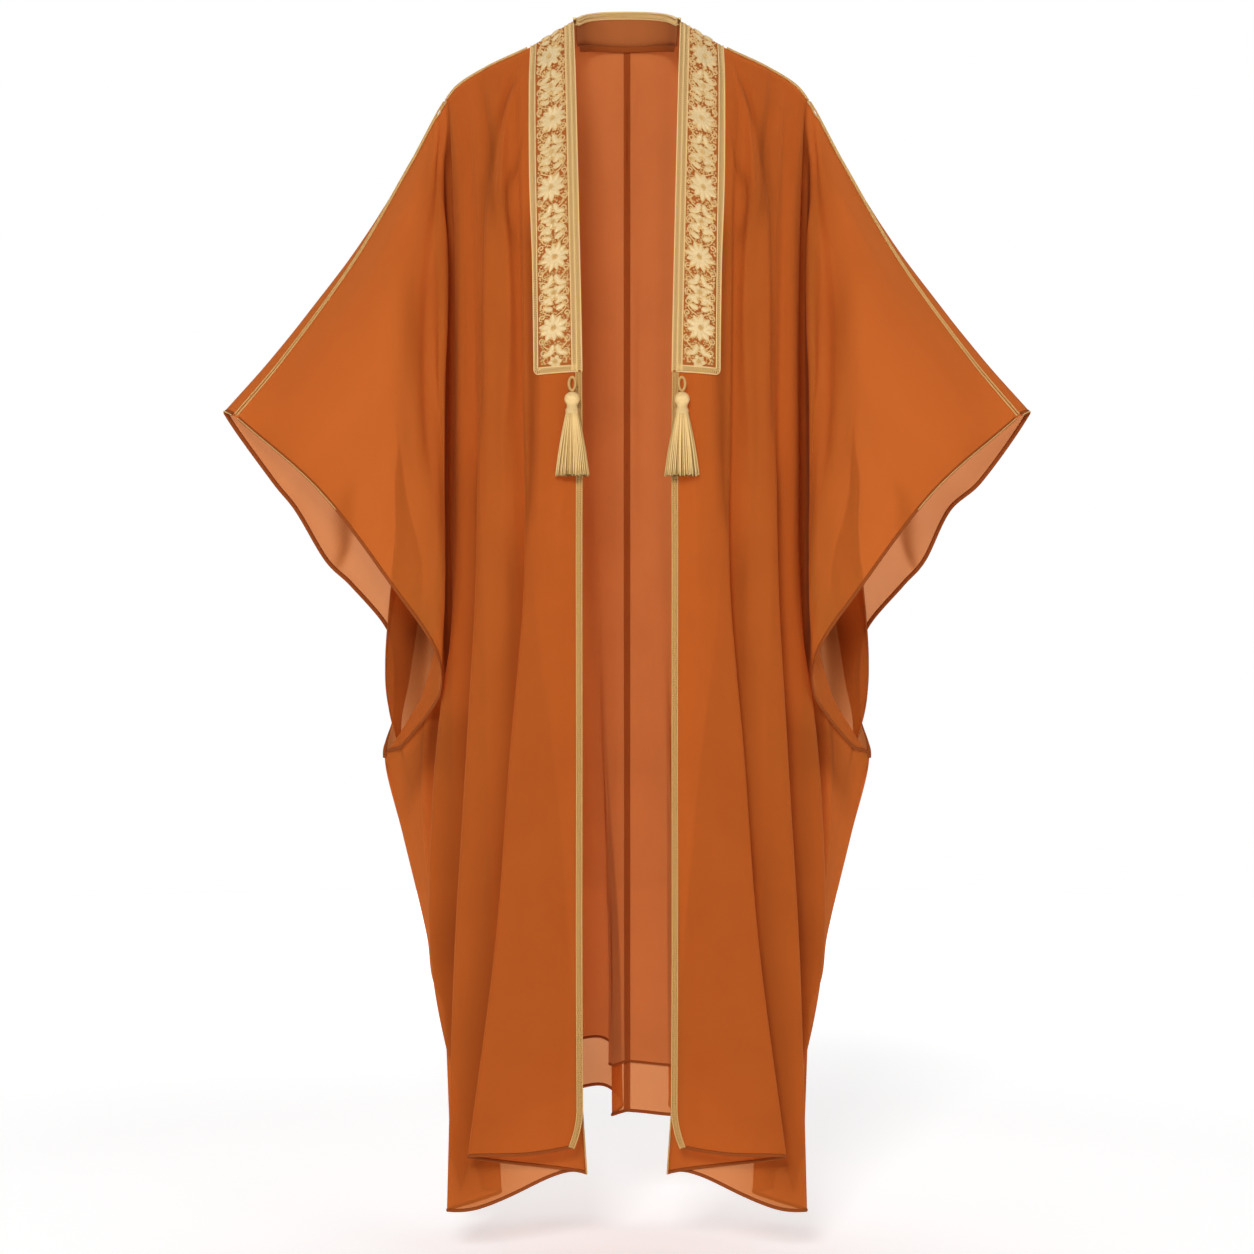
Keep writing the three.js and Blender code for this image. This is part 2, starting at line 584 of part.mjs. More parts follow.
// The double cord that covers the seam over the arm, from the band to the cuff.
function seamCord(back) {
  const centre = (along) => {
    const front = outwardAt(frontSurface, frontSurface.uOf(along), 0.002);
    const behind = outwardAt(back, back.uOf(along + NECK_ARC), 0.002);
    return seamAt(along).addScaledVector(front.add(behind).normalize(), CORD_RADIUS + CLOTH + 2 * SEAM_GAP);
  };
  const halfAxes = (along) => {
    const ahead = seamAt(along + 2).sub(seamAt(along - 2)).normalize();
    const up = centre(along).sub(seamAt(along)).normalize();
    return [ahead.clone().cross(up).multiplyScalar(CORD_RADIUS * 1.3), up.multiplyScalar(CORD_RADIUS)];
  };
  return rod(centre, halfAxes, steps(BAND_WIDTH + 3, SEAM_END - 2, 24), 6);
}

// The standing back neck: bottom edge at the neck seam, top edge where its braid turns over.
const standFoot = spaceCurve(STAND_FOOT, 'at');
const standTop = spaceCurve(STAND_TOP, 'at');
function standPoint(turn, rise, outwards) {
  const share = Math.abs(turn);
  const point = standFoot(share).lerp(standTop(share), rise);
  const ahead = standTop(Math.min(1, share + 0.01)).sub(standTop(Math.max(0, share - 0.01)));
  point.add(new THREE.Vector3(-ahead.y, ahead.x, 0).normalize().multiplyScalar(outwards));
  point.x *= Math.sign(turn);
  return point;
}

const STAND_PLACES = steps(-1, 1, 16);

function neckStand() {
  const skin = (layer, turn, rise) => standPoint(turn, rise, layer * CLOTH);
  return wall(skin, STAND_PLACES, steps(0, 1, 2));
}

function neckBraid() {
  const skin = (layer, turn, t) => {
    const clear = SEAM_GAP + layer * BRAID_THICK;
    const height = standTop(Math.abs(turn)).z - standFoot(Math.abs(turn)).z;
    const leg = NECK_BRAID / height;
    const outerLeg = leg * (1 - Math.abs(turn) ** 3);
    if (t === 0) return standPoint(turn, 1 - leg, -clear);
    if (t === 1) return standPoint(turn, 1, -clear).add(new THREE.Vector3(0, 0, clear));
    if (t === 2) return standPoint(turn, 1, CLOTH + clear).add(new THREE.Vector3(0, 0, clear));
    return standPoint(turn, 1 - outerLeg, CLOTH + clear);
  };
  return wall(skin, STAND_PLACES.slice(1, -1), [0, 1, 2, 3]);
}

// A tassel hangs in front of the foot of the band, flattened against the front.
function tassel() {
  const rings = TASSEL_PROFILE.map(({ down, radius }) => new THREE.Vector2(radius, -down));
  const head = new THREE.LatheGeometry(rings, 12);
  head.rotateX(Math.PI / 2);
  head.deleteAttribute('normal');
  head.deleteAttribute('uv');
  const merged = BufferGeometryUtils.mergeVertices(head);
  const turned = closed(Array.from(merged.attributes.position.array), Array.from(merged.index.array));
  let solid = manifoldOf(turned);
  for (const ring of TASSEL_RINGS) {
    for (let i = 0; i < ring.count; i += 1) {
      solid = solid.add(lock((2 * Math.PI * (i + ring.turn)) / ring.count, ring));
    }
  }
  const mesh = solid.getMesh();
  const positions = Array.from(mesh.vertProperties);
  for (let i = 0; i < positions.length; i += 3) {
    positions[i] += TASSEL.out;
    positions[i + 1] = positions[i + 1] * TASSEL.flat + TASSEL.depth;
    positions[i + 2] += TASSEL.height;
  }
  return closed(positions, Array.from(mesh.triVerts));
}

// One lock of the skirt: a three-sided rod from the bound neck to its free end.
function lock(angle, { root, spread, bow }) {
  const away = new THREE.Vector3(Math.cos(angle), Math.sin(angle), 0);
  const around = new THREE.Vector3(-away.y, away.x, 0);
  const centre = (t) => {
    const radius = mix(root, spread, t) + bow * Math.sin(Math.PI * t);
    return away.clone().multiplyScalar(radius).setZ(mix(-TASSEL.skirtTop, -TASSEL.length, t));
  };
  const size = (t) => mix(0.7, 1.8, t);
  const halfAxes = (t) => [around.clone().multiplyScalar(size(t)), away.clone().multiplyScalar(size(t))];
  return manifoldOf(rod(centre, halfAxes, [0, 0.35, 1], 3));
}

function tasselLoop() {
  const top = TASSEL.height + TASSEL.loop;
  const bottom = TASSEL.height + TASSEL.loopRadius + SEAM_GAP;
  const centre = (t) => {
    const angle = 2 * Math.PI * t;
    const height = mix(bottom, top, 0.5 + 0.5 * Math.cos(angle));
    const depth = mix(TASSEL.depth, TASSEL.loopDepth, 0.5 + 0.5 * Math.cos(angle));
    return new THREE.Vector3(TASSEL.out + 3.6 * Math.sin(angle), depth, height);
  };
  const halfAxes = (t) => {
    const angle = 2 * Math.PI * t;
    const radial = new THREE.Vector3(Math.sin(angle), 0, Math.cos(angle)).multiplyScalar(TASSEL.loopRadius);
    return [radial, new THREE.Vector3(0, TASSEL.loopRadius, 0)];
  };
  return rod(centre, halfAxes, steps(0, 11 / 12, 11), 5, true);
}

const wasm = await Module();
wasm.setup();

function manifoldOf(geometry) {
  return new wasm.Manifold(new wasm.Mesh({
    numProp: 3,
    vertProperties: new Float32Array(geometry.attributes.position.array),
    triVerts: new Uint32Array(geometry.index.array),
  }));
}

// ---------------------------------------------------------------- the garment

const garment = new THREE.Group();

function add(name, geometry, colour, roughness = 0.8, metalness = 0) {
  const material = new THREE.MeshStandardMaterial({ color: colour, roughness, metalness });
  const mesh = new THREE.Mesh(geometry, material);
  mesh.name = name;
  garment.add(mesh);
}

for (const { name, sign, pleatOut, cuffBend } of SIDES) {
  const back = backOf({ pleatOut, cuffBend });
  back.firstU = EDGE_TRIM;
  const backColumns = columnsOf(back, SEAM_JOINTS.map((joint) => joint + NECK_ARC), MORE_BACK_CUTS);
  add(`front_${name}`, sided(panelWall(frontSurface, FRONT_COLUMNS, FRONT_ROWS), sign), COLOURS.georgette);
  add(`back_${name}`, sided(panelWall(back, backColumns, BACK_ROWS), sign), COLOURS.georgette);
  add(`back_lining_${name}`, sided(backLining(back), sign), COLOURS.georgette);
  add(`band_${name}`, sided(neckBand(), sign), COLOURS.gold, 0.5, 0.4);
  add(`edge_braid_${name}`, sided(edgeBraid(), sign), COLOURS.gold, 0.5, 0.4);
  add(`fold_cord_${name}`, sided(foldCord(), sign), COLOURS.gold, 0.5, 0.4);
  add(`seam_braid_${name}`, sided(seamCord(back), sign), COLOURS.gold, 0.5, 0.4);
  add(`tassel_loop_${name}`, sided(tasselLoop(), sign), COLOURS.gold, 0.5, 0.2);
  add(`tassel_${name}`, sided(tassel(), sign), COLOURS.tassel, 0.5, 0.1);
}
add('neck_stand', neckStand(), COLOURS.facing);
add('neck_braid', neckBraid(), COLOURS.gold, 0.5, 0.4);

export default garment;
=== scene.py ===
# %% [markdown]
# # An open abaya in sheer georgette
#
# The garment is a long open robe of rust georgette. Gold braids run down its fronts, over its arms and
# round its neck, and an embroidered band with a tassel hangs at each side of the opening. This lesson
# dresses a plain model of it: the plain solids give every place, and each step below makes one finish.

# %% Load the plain model
import math

import bpy
import numpy as np
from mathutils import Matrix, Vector


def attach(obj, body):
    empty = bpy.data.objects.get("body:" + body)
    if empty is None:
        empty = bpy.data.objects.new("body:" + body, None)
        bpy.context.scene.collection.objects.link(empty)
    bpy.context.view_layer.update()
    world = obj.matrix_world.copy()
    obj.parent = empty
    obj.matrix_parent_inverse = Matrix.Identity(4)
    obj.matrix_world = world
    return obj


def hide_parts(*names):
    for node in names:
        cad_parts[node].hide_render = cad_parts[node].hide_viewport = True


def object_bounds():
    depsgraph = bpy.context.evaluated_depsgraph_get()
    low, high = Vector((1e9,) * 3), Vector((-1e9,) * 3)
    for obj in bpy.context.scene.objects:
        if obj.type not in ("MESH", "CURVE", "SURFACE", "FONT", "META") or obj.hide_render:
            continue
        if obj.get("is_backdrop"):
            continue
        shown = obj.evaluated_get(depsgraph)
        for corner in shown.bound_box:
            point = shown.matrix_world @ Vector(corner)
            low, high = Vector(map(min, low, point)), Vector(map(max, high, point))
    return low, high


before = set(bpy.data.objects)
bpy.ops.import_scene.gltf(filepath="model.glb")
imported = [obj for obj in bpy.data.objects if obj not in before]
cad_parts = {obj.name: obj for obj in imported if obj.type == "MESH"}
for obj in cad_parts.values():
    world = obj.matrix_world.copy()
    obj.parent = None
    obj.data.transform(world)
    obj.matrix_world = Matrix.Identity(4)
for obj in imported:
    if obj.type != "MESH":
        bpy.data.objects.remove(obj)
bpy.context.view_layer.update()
MM = 0.001

# %% [markdown]
# ## Curves through a few numbers
#
# A dressmaker knows a drape by a few points: where a fold leaves the shoulder, how far out it stands at
# the hip, where it ends. A smooth curve through such points gives the rest. The curve here is a cubic
# whose slope at each point is that between its two neighbours, so that it never swings far past them.


# %% A smooth curve through a table
def through(knots, values):
    """A smooth curve that passes through the values at the knots."""
    knots = np.asarray(knots, float)
    values = np.asarray(values, float)
    index = np.arange(len(knots))
    before = np.maximum(index - 1, 0)
    after = np.minimum(index + 1, len(knots) - 1)
    tail = (1,) * (values.ndim - 1)
    slopes = (values[after] - values[before]) / (knots[after] - knots[before]).reshape(-1, *tail)

    def curve(t):
        t = np.asarray(t, float)
        i = np.clip(np.searchsorted(knots, t) - 1, 0, len(knots) - 2)
        span = knots[i + 1] - knots[i]
        s = np.clip((t - knots[i]) / span, 0, 1)
        s, span = s.reshape(s.shape + tail), span.reshape(span.shape + tail)
        ease = s * s * (3 - 2 * s)
        leave = s * (1 - s) ** 2 * span * slopes[i]
        arrive = s * s * (s - 1) * span * slopes[i + 1]
        return values[i] * (1 - ease) + values[i + 1] * ease + leave + arrive

    return curve


def smooth(t):
    """Eases from 0 to 1 while t goes from 0 to 1."""
    t = np.clip(t, 0, 1)
    return t * t * (3 - 2 * t)


def rows(columns, *lines):
    """A table with named columns, as one dict for each line."""
    return [dict(zip(columns, line)) for line in lines]


def space_curve(table, key):
    """A smooth line in space through a table's rows, by the numbers in one of its columns."""
    return through([row[key] for row in table], [(row["out"], row["depth"], row["height"]) for row in table])


def walk(line):
    """The distance walked along a line of points, from 0."""
    return np.concatenate([[0], np.cumsum(np.linalg.norm(np.diff(line, axis=0), axis=1))])


def pairs(across, down):
    """A grid of two numbers at each place, from a column and a row that spread over it."""
    return np.stack(np.broadcast_arrays(across, down), axis=2)


def blend(grid, i, k, a, d):
    """What a grid holds at shares a and d of the way from point i, k to the next ones."""
    top = grid[i, k] * (1 - a) + grid[i + 1, k] * a
    low = grid[i, k + 1] * (1 - a) + grid[i + 1, k + 1] * a
    return top * (1 - d) + low * d


print("halfway from 0 to 1 a curve is at", float(through([0, 1], [0, 1])(0.5)))

# %% [markdown]
# ## The cut and drape
#
# These tables hold the garment's own sizes in millimetres. "out" is away from the middle, "depth" is
# towards the back and "height" is up, all from the nape. The seam over the arm and the neck seam hold
# the cloth up, the free edges bound it, and the fold lines say how it hangs between them.

# %% Seams and free edges
PLACE = ("along", "out", "depth", "height")
ARM_SEAM = rows(
    PLACE,
    (0, 62, -52, 21), (57, 113, -45, -8), (120, 170, -38, -34), (166, 207, -34, -60),
    (268, 254, -45, -145), (404, 320, -58, -262), (549, 404, -68, -380), (639, 460, -75, -448),
)
BACK_NECK = rows(PLACE, (0, 0, 0, 0), (30, 29, -5, 2), (60, 52, -22, 8), (92, 62, -52, 21))
NECK_ARC = 92
ARM_SEAM_END = 639
FRONT_LENGTH = 1306
BACK_LENGTH = 1288
CUFF_END = 0.58

EDGE = ("at", "out", "depth", "height", "bend")
FRONT_RIM = rows(
    EDGE,
    (0.00, 460, -75, -448), (0.13, 357, -118, -536), (0.27, 267, -138, -652), (0.36, 221, -136, -721),
    (0.42, 217, -116, -768), (0.47, 236, -84, -800), (0.53, 268, -44, -836), (0.58, 289, -15, -851),
    (0.66, 268, -4, -944), (0.76, 240, 4, -1064), (0.82, 233, 6, -1118), (0.86, 217, 8, -1156),
    (0.90, 210, 10, -1206), (1.00, 200, 10, -1374),
)
BACK_CUFF = rows(
    EDGE,
    (0.00, 460, -75, -448, 0), (0.02, 475, -56, -443, 0), (0.10, 420, -34, -523, 0),
    (0.15, 394, -25, -556, 1), (0.21, 360, -8, -615, 0.4), (0.27, 331, 0, -644, 0),
    (0.34, 290, 16, -693, 0), (0.41, 281, 38, -730, 0), (0.49, 282, 26, -797, 0),
)
SIDE_SEAM = [row for row in FRONT_RIM if row["at"] >= CUFF_END]
print("seam over the arm:", ARM_SEAM_END, "mm, cuff and side:", len(FRONT_RIM), "points")

# %% Fold lines
STATIONS = {"collar": 0.05, "chest": 0.165, "waist": 0.35, "hip": 0.5, "thigh": 0.66, "knee": 0.82, "hem": 1}
FOLD = ("line", "along", "hang", *STATIONS)
FRONT_FOLDS = rows(
    FOLD,
    ("front edge", 0, 0, (60, -102), (56, -163), (51, -190), (51, -188), (51, -186), (51, -189), (50, -190)),
    ("first layer", 26, 3, (86, -103), (84, -166), (80, -194), (82, -195), (90, -198), (98, -201),
     (112, -204)),
    ("first edge", 58, 4, (118, -98), (115, -162), (113, -186), (116, -190), (133, -192), (149, -195),
     (178, -198)),
    ("behind first", 78, 30, (134, -90), (126, -148), (118, -164), (106, -162), (82, -158), (64, -154),
     (47, -152)),
    ("second layer", 104, 44, (152, -90), (146, -152), (144, -168), (140, -168), (134, -166), (126, -164),
     (118, -164)),
    ("second edge", 132, 69, (176, -84), (168, -141), (170, -156), (174, -158), (186, -156), (199, -152),
     (206, -150)),
    ("behind second", 150, 56, (186, -74), (178, -118), (174, -122), (167, -120), (160, -114), (154, -108),
     (146, -102)),
    ("third edge", 168, 52, (202, -70), (196, -110), (198, -110), (202, -106), (224, -98), (224, -92),
     (170, -86)),
    ("underarm", 190, 40, (214, -54), (207, -58), (208, -40), (208, -36), (206, -40), (198, -44), (166, -42)),
    ("sleeve roll", 222, 30, (229, -74), (214, -100), (212, -116), (216, -104), (238, -52), (222, -28),
     (188, -18)),
)
SLEEVE = ("line", "along", "share", *STATIONS)
NONE = (0, 0)
FRONT_SLEEVE = rows(
    SLEEVE,
    ("inner trough", 290, 0.2, (0, -16), (0, -4), (0, -2), (0, -2), (0, -2), NONE, NONE),
    ("broad field", 400, 0.45, (0, -26), (0, -26), (0, -14), (0, -5), (0, -3), NONE, NONE),
    ("outer field", 520, 0.73, (0, -24), (0, -18), (0, -8), (0, -2), NONE, NONE, NONE),
)
BACK_FOLD = ("line", "pleat", "along", "hang", *STATIONS)
BACK_FOLDS = rows(
    BACK_FOLD,
    ("centre back", 0, 0, 0, (0, 24), (0, 47), (0, 60), (0, 67), (0, 71), (0, 73), (0, 74)),
    ("pleat edge", 1, 26, 4, (26, 23), (26, 48), (26, 62), (26, 66), (24, 66), (21, 66), (19, 66)),
    ("pleat back", 1, 56, -6, (50, 16), (52, 47), (50, 61), (44, 68), (30, 77), (12, 84), (5, 87)),
    ("behind pleat", 1, 86, -24, (70, 4), (80, 42), (80, 54), (76, 64), (62, 84), (42, 98), (34, 104)),
    ("back ridge", 0.3, 150, -8, (120, -2), (122, 48), (124, 68), (124, 84), (118, 94), (112, 100),
     (104, 106)),
    ("back trough", 0, 200, 6, (166, -8), (160, 26), (156, 34), (156, 42), (152, 50), (146, 58), (142, 64)),
    ("side ridge", 0, 248, 20, (204, -10), (196, 32), (196, 46), (200, 58), (204, 66), (200, 70), (192, 74)),
    ("underarm", 0, 300, 26, (232, -22), (222, 2), (222, 6), (226, 12), (232, 26), (222, 36), (212, 40)),
)
BACK_SLEEVE = rows(
    SLEEVE,
    ("inner field", 370, 0.3, (0, 18), (0, 22), (0, 16), (0, 8), (0, 6), NONE, NONE),
    ("pleat crest", 440, 0.52, (0, 20), (-2, 12), (30, -16), (36, -24), (0, 2), NONE, NONE),
    ("pleat fold", 500, 0.66, (0, 18), (-4, 20), (-8, 10), (2, 6), (0, 2), NONE, NONE),
    ("outer field", 610, 0.84, (0, 12), (0, 12), (-4, 12), (0, 4), NONE, NONE, NONE),
)
print("fold lines: front", len(FRONT_FOLDS) + len(FRONT_SLEEVE), "back", len(BACK_FOLDS) + len(BACK_SLEEVE))

# %% [markdown]
# ## A draped panel
#
# Each panel is a smooth surface through its fold lines, with u counted in lines from the middle and v
# from the top seam (0) to the hem (1). It could be sewn from flat pieces by a cloth simulation, but a
# robe that is held out on a wearer has folds in known places, and lines put them exactly there.

# %% Surface through the fold lines
# shares of the length from which the front corner curls, the folds hang lower and the hem dips
CURL_FROM = 0.965
HANG_FROM = 0.35
DIP_FROM = 0.82
# shares of the length over which the cloth leaves its seam and the back cloth rolls over the arm
ONTO_SEAM = 0.1
OVER_ARM = 0.06
ARM_ROLL = np.array([0.8, 0.2, 0.6])


def draped_panel(top_at, end, rim, folds, sleeve, length, facing, dips):
    """The surface of one panel, from its seam, its free rim and its fold lines."""
    rim_at = space_curve(rim, "at")
    top_height = top_at(0.0)[2]
    tip = rim_at(0.0)
    names = list(STATIONS)
    stations = [0, *STATIONS.values()]

    def body_line(row, v):
        start = top_at(float(row["along"]))
        across = through(stations, [start[:2], *[row[name] for name in names]])(v)
        share = (top_height - start[2]) / (top_height - tip[2])
        fall = (top_height - length * v) * (1 - share) + rim_at(v)[:, 2] * share
        fall = fall - row["hang"] * smooth((v - HANG_FROM) / (1 - HANG_FROM))
        if row["line"] == "front edge":
            across[:, 0] += FRONT_CURL * np.clip((v - CURL_FROM) / (1 - CURL_FROM), 0, 1) ** 2
        return np.column_stack([across, fall])

    root_start = body_line(folds[-1], np.array([0.0]))[0]

    def sleeve_line(row, v):
        root = body_line(folds[-1], v)
        point = root * (1 - row["share"]) + rim_at(v) * row["share"]
        bow = top_at(float(row["along"])) - (root_start * (1 - row["share"]) + tip * row["share"])
        point += bow * ((1 - np.clip(v / CUFF_END, 0, 1)) ** 2)[:, None]
        over = ARM_ROLL * (facing > 0)
        point += over * np.sin(np.pi * np.clip(v / OVER_ARM, 0, 1))[:, None]
        point[:, :2] += through(stations, [(0, 0), *[row[name] for name in names]])(v)
        return point

    knots = np.arange(len(folds) + len(sleeve) + 1)
    along_of = through(knots, [row["along"] for row in folds + sleeve] + [end])
    dip_at = through(*zip(*dips))

    def surface(u, v):
        body = [body_line(row, v) for row in folds]
        arm = [sleeve_line(row, v) for row in sleeve]
        first = [body_line(row, np.array([0.0])) for row in folds]
        first += [sleeve_line(row, np.array([0.0])) for row in sleeve]
        points = through(knots, np.array([*body, *arm, rim_at(v)]))(u)
        start = through(knots, np.array([*first, tip[None]]))(u)
        onto = top_at(along_of(u))[:, None] - start
        points = points + onto * ((1 - np.clip(v / ONTO_SEAM, 0, 1)) ** 2)[None, :, None]
        points[..., 2] -= dip_at(u)[:, None] * smooth((v - DIP_FROM) / (1 - DIP_FROM))[None]
        return points

    surface.last = knots[-1]
    surface.facing = facing
    surface.along_of = along_of
    surface.length = length
    return surface


# %% The front and the two backs
FRONT_CURL = 10
# how far the hem dips, by fold line
FRONT_DIPS = [(0, 0), (3, 0), (3.5, -11), (4, 0), (4.5, 7), (5, 0), (13, 0)]
NO_DIPS = [(0, 0), (13, 0)]
SIDES = rows(("name", "sign", "pleat_out", "cuff_bend"), ("left", -1, 0, 0), ("right", 1, 46, 10))
arm_seam_at = space_curve(ARM_SEAM, "along")
back_neck_at = space_curve(BACK_NECK, "along")


def back_top_at(along):
    """Places along the back's top seam, from the nape round the neck and then over the arm."""
    along = np.asarray(along, float)
    on_neck = (along <= NECK_ARC)[..., None]
    return np.where(on_neck, back_neck_at(along), arm_seam_at(along - NECK_ARC))


def back_panel(pleat_out, cuff_bend):
    """A back with its centre pleat swung out and its cuff bent in by so many millimetres."""
    folds = []
    for row in BACK_FOLDS:
        moved = dict(row)
        for name in ("hip", "thigh", "knee", "hem"):
            share = row["pleat"] * smooth((STATIONS[name] - STATIONS["waist"]) / (1 - STATIONS["waist"]))
            moved[name] = (row[name][0] + pleat_out * share, row[name][1])
        folds.append(moved)
    cuff = [{**row, "out": row["out"] - cuff_bend * row["bend"]} for row in BACK_CUFF]
    return draped_panel(
        back_top_at, NECK_ARC + ARM_SEAM_END, cuff + SIDE_SEAM, folds, BACK_SLEEVE, BACK_LENGTH, 1, NO_DIPS
    )


front_surface = draped_panel(
    arm_seam_at, ARM_SEAM_END, FRONT_RIM, FRONT_FOLDS, FRONT_SLEEVE, FRONT_LENGTH, -1, FRONT_DIPS
)
back_surfaces = {side["name"]: back_panel(side["pleat_out"], side["cuff_bend"]) for side in SIDES}
front_corner = front_surface(np.array([0.0]), np.array([1.0]))[0, 0]
print("front corner at the hem:", np.round(front_corner), "mm from the nape")

# %% [markdown]
# ## Soft creases
#
# Georgette is light and springy. Where it hangs free it ripples down its length, and where it turns over
# the arm or into the underarm it breaks into a few soft creases. The ripples come from smooth noise that
# is long down the cloth and short across it. The main creases are listed one by one, each as a trough or
# ridge between two places on the cloth. Both move the cloth along its own outward direction.


# %% Smooth noise and listed creases
NOISE_CELLS = 64
STEP_GAIN = 1.6


def soft_noise(across, down, seed):
    """Smooth random heights from -1 to 1 over two coordinates that count in waves."""
    table = np.random.RandomState(seed).uniform(-1, 1, (NOISE_CELLS, NOISE_CELLS))
    a, d = np.floor(across).astype(int), np.floor(down).astype(int)
    fa, fd = smooth(across - a), smooth(down - d)
    a, d = a % NOISE_CELLS, d % NOISE_CELLS
    next_a, next_d = (a + 1) % NOISE_CELLS, (d + 1) % NOISE_CELLS
    near = table[a, d] * (1 - fd) + table[a, next_d] * fd
    far = table[next_a, d] * (1 - fd) + table[next_a, next_d] * fd
    return near * (1 - fa) + far * fa


def fading(t, soft):
    """1 along a path, where t goes from 0 to 1, and fading to 0 past both of its ends."""
    return smooth((t + soft) / (2 * soft)) * smooth((1 + soft - t) / (2 * soft))


def crease_heights(across, down, creases):
    """Troughs (deep < 0), ridges (deep > 0) and steps along listed paths, fading at both ends."""
    heights = np.zeros(across.shape)
    for crease in creases:
        path = np.array(crease["path"], float)
        tall = np.ptp(path[:, 1]) >= np.ptp(path[:, 0])
        run, other = (down, across) if tall else (across, down)
        path = path if tall else path[:, ::-1]
        path = path[np.argsort(path[:, 1])]
        middle = through(path[:, 1], path[:, 0])(run)
        lean = (path[-1, 0] - path[0, 0]) / (path[-1, 1] - path[0, 1])
        side = (other - middle) / math.hypot(1, lean) / crease["wide"]
        t = (run - path[0, 1]) / (path[-1, 1] - path[0, 1])
        hump = np.exp(-(side**2)) * (1 - abs(crease["step"]))
        step = crease["step"] * STEP_GAIN * side * np.exp(-(side**2) / 2)
        heights += crease["deep"] * (hump + step) * fading(t, crease["soft"])
    return heights


print("noise at a whole number of waves:", round(float(soft_noise(np.array(2.0), np.array(3.0), 1)), 3))


# %% [markdown]
# ## Cloth as a grid
#
# The surface is measured out at even steps, its creases are raised, and the result is kept as a grid of
# points with outward directions. Braids and bands are later laid on the same grid, so that they follow
# every fold. The grid's flat coordinates, in metres, carry the weave.

# %% The grid of one panel
CLOTH_MIDDLE = 0.85
SEAM_LAP = 0.6
# painted fold shade: within what reach a fold is measured, from what depth it is painted darker and over
# how much more, in millimetres, and how dark it is painted
FOLD_SCALES = rows(("reach", "start", "full", "painted_shade"), (34, 1, 26, 0.2), (12, 0.4, 7, 0.2))


def outward_of(points, facing):
    """Unit directions away from a grid of points, on the side that it faces."""
    across = np.gradient(points, axis=0)
    down = np.gradient(points, axis=1)
    outward = np.cross(across, down) * facing
    return outward / np.maximum(np.linalg.norm(outward, axis=2, keepdims=True), 1e-9)


def blurred(values, places, reach):
    """Values averaged over their neighbours across the cloth, within about reach."""
    weight = np.exp(-(((places[:, None] - places[None]) / reach) ** 2))
    return (weight / weight.sum(axis=1, keepdims=True)) @ values


def painted_fold_shade(depth, places, lines, shares, shades):
    """How dark each point is painted as shade, from 0 on its crest to 1 deep in a fold."""
    total = 0
    for row in FOLD_SCALES:
        below = depth - blurred(depth, places, row["reach"])
        total = total + row["painted_shade"] * smooth((below - row["start"]) / row["full"])
    for shade in shades:
        line, share = np.array(shade["path"], float).T
        side = lines[:, None] - through(share, line)(shares)[None]
        side = side / np.where(side < 0, shade["inner"], shade["outer"])
        t = (shares - share[0]) / (share[-1] - share[0])
        total = total + shade["painted_shade"] * np.exp(-(side**2)) * fading(t, shade["soft"])[None]
    return np.clip(total, 0, 1)


class Cloth:
    """A panel as a grid of points: u and s across it (in fold lines and millimetres), v down it."""

    def __init__(self, surface, columns, rows_down, creases, ripple, shades, closed_middle=False):
        fine = np.linspace(0, surface.last, 400)
        probe = surface(fine, np.linspace(0.1, 1, 12))
        step = np.linalg.norm(np.diff(probe, axis=0), axis=2).mean(axis=1)
        walked = np.concatenate([[0], np.cumsum(step)])
        self.width = walked[-1]
        self.u = np.interp(np.linspace(0, walked[-1], columns), walked, fine)
        self.v = np.linspace(0, 1, rows_down)
        self.s = np.interp(self.u, fine, walked)
        self.length = surface.length
        base = surface(self.u, self.v)
        outward = outward_of(base, surface.facing)
        across, down = np.meshgrid(self.s, self.v * surface.length, indexing="ij")
        heights = crease_heights(across, down, creases) + ripple(across, down)
        self.points = base + outward * (heights + CLOTH_MIDDLE)[..., None]
        if closed_middle:
            self.points[0, :, 0] = -SEAM_LAP
        self.outward = outward_of(self.points, surface.facing)
        # painted shade of the folds, which the cloth's material reads
        self.shade = painted_fold_shade(self.points[..., 1] * -surface.facing, self.s, self.u, self.v, shades)

    def at(self, u, v, lift=0.0):
        """Points on the cloth at u and v, moved out by lift."""
        u, v, lift = np.broadcast_arrays(u, v, lift)
        i = np.clip(np.searchsorted(self.u, u) - 1, 0, len(self.u) - 2)
        k = np.clip(np.searchsorted(self.v, v) - 1, 0, len(self.v) - 2)
        a = ((u - self.u[i]) / (self.u[i + 1] - self.u[i]))[..., None]
        d = ((v - self.v[k]) / (self.v[k + 1] - self.v[k]))[..., None]
        return blend(self.points, i, k, a, d) + blend(self.outward, i, k, a, d) * lift[..., None]


print("scales of fold shading:", [row["reach"] for row in FOLD_SCALES], "mm")


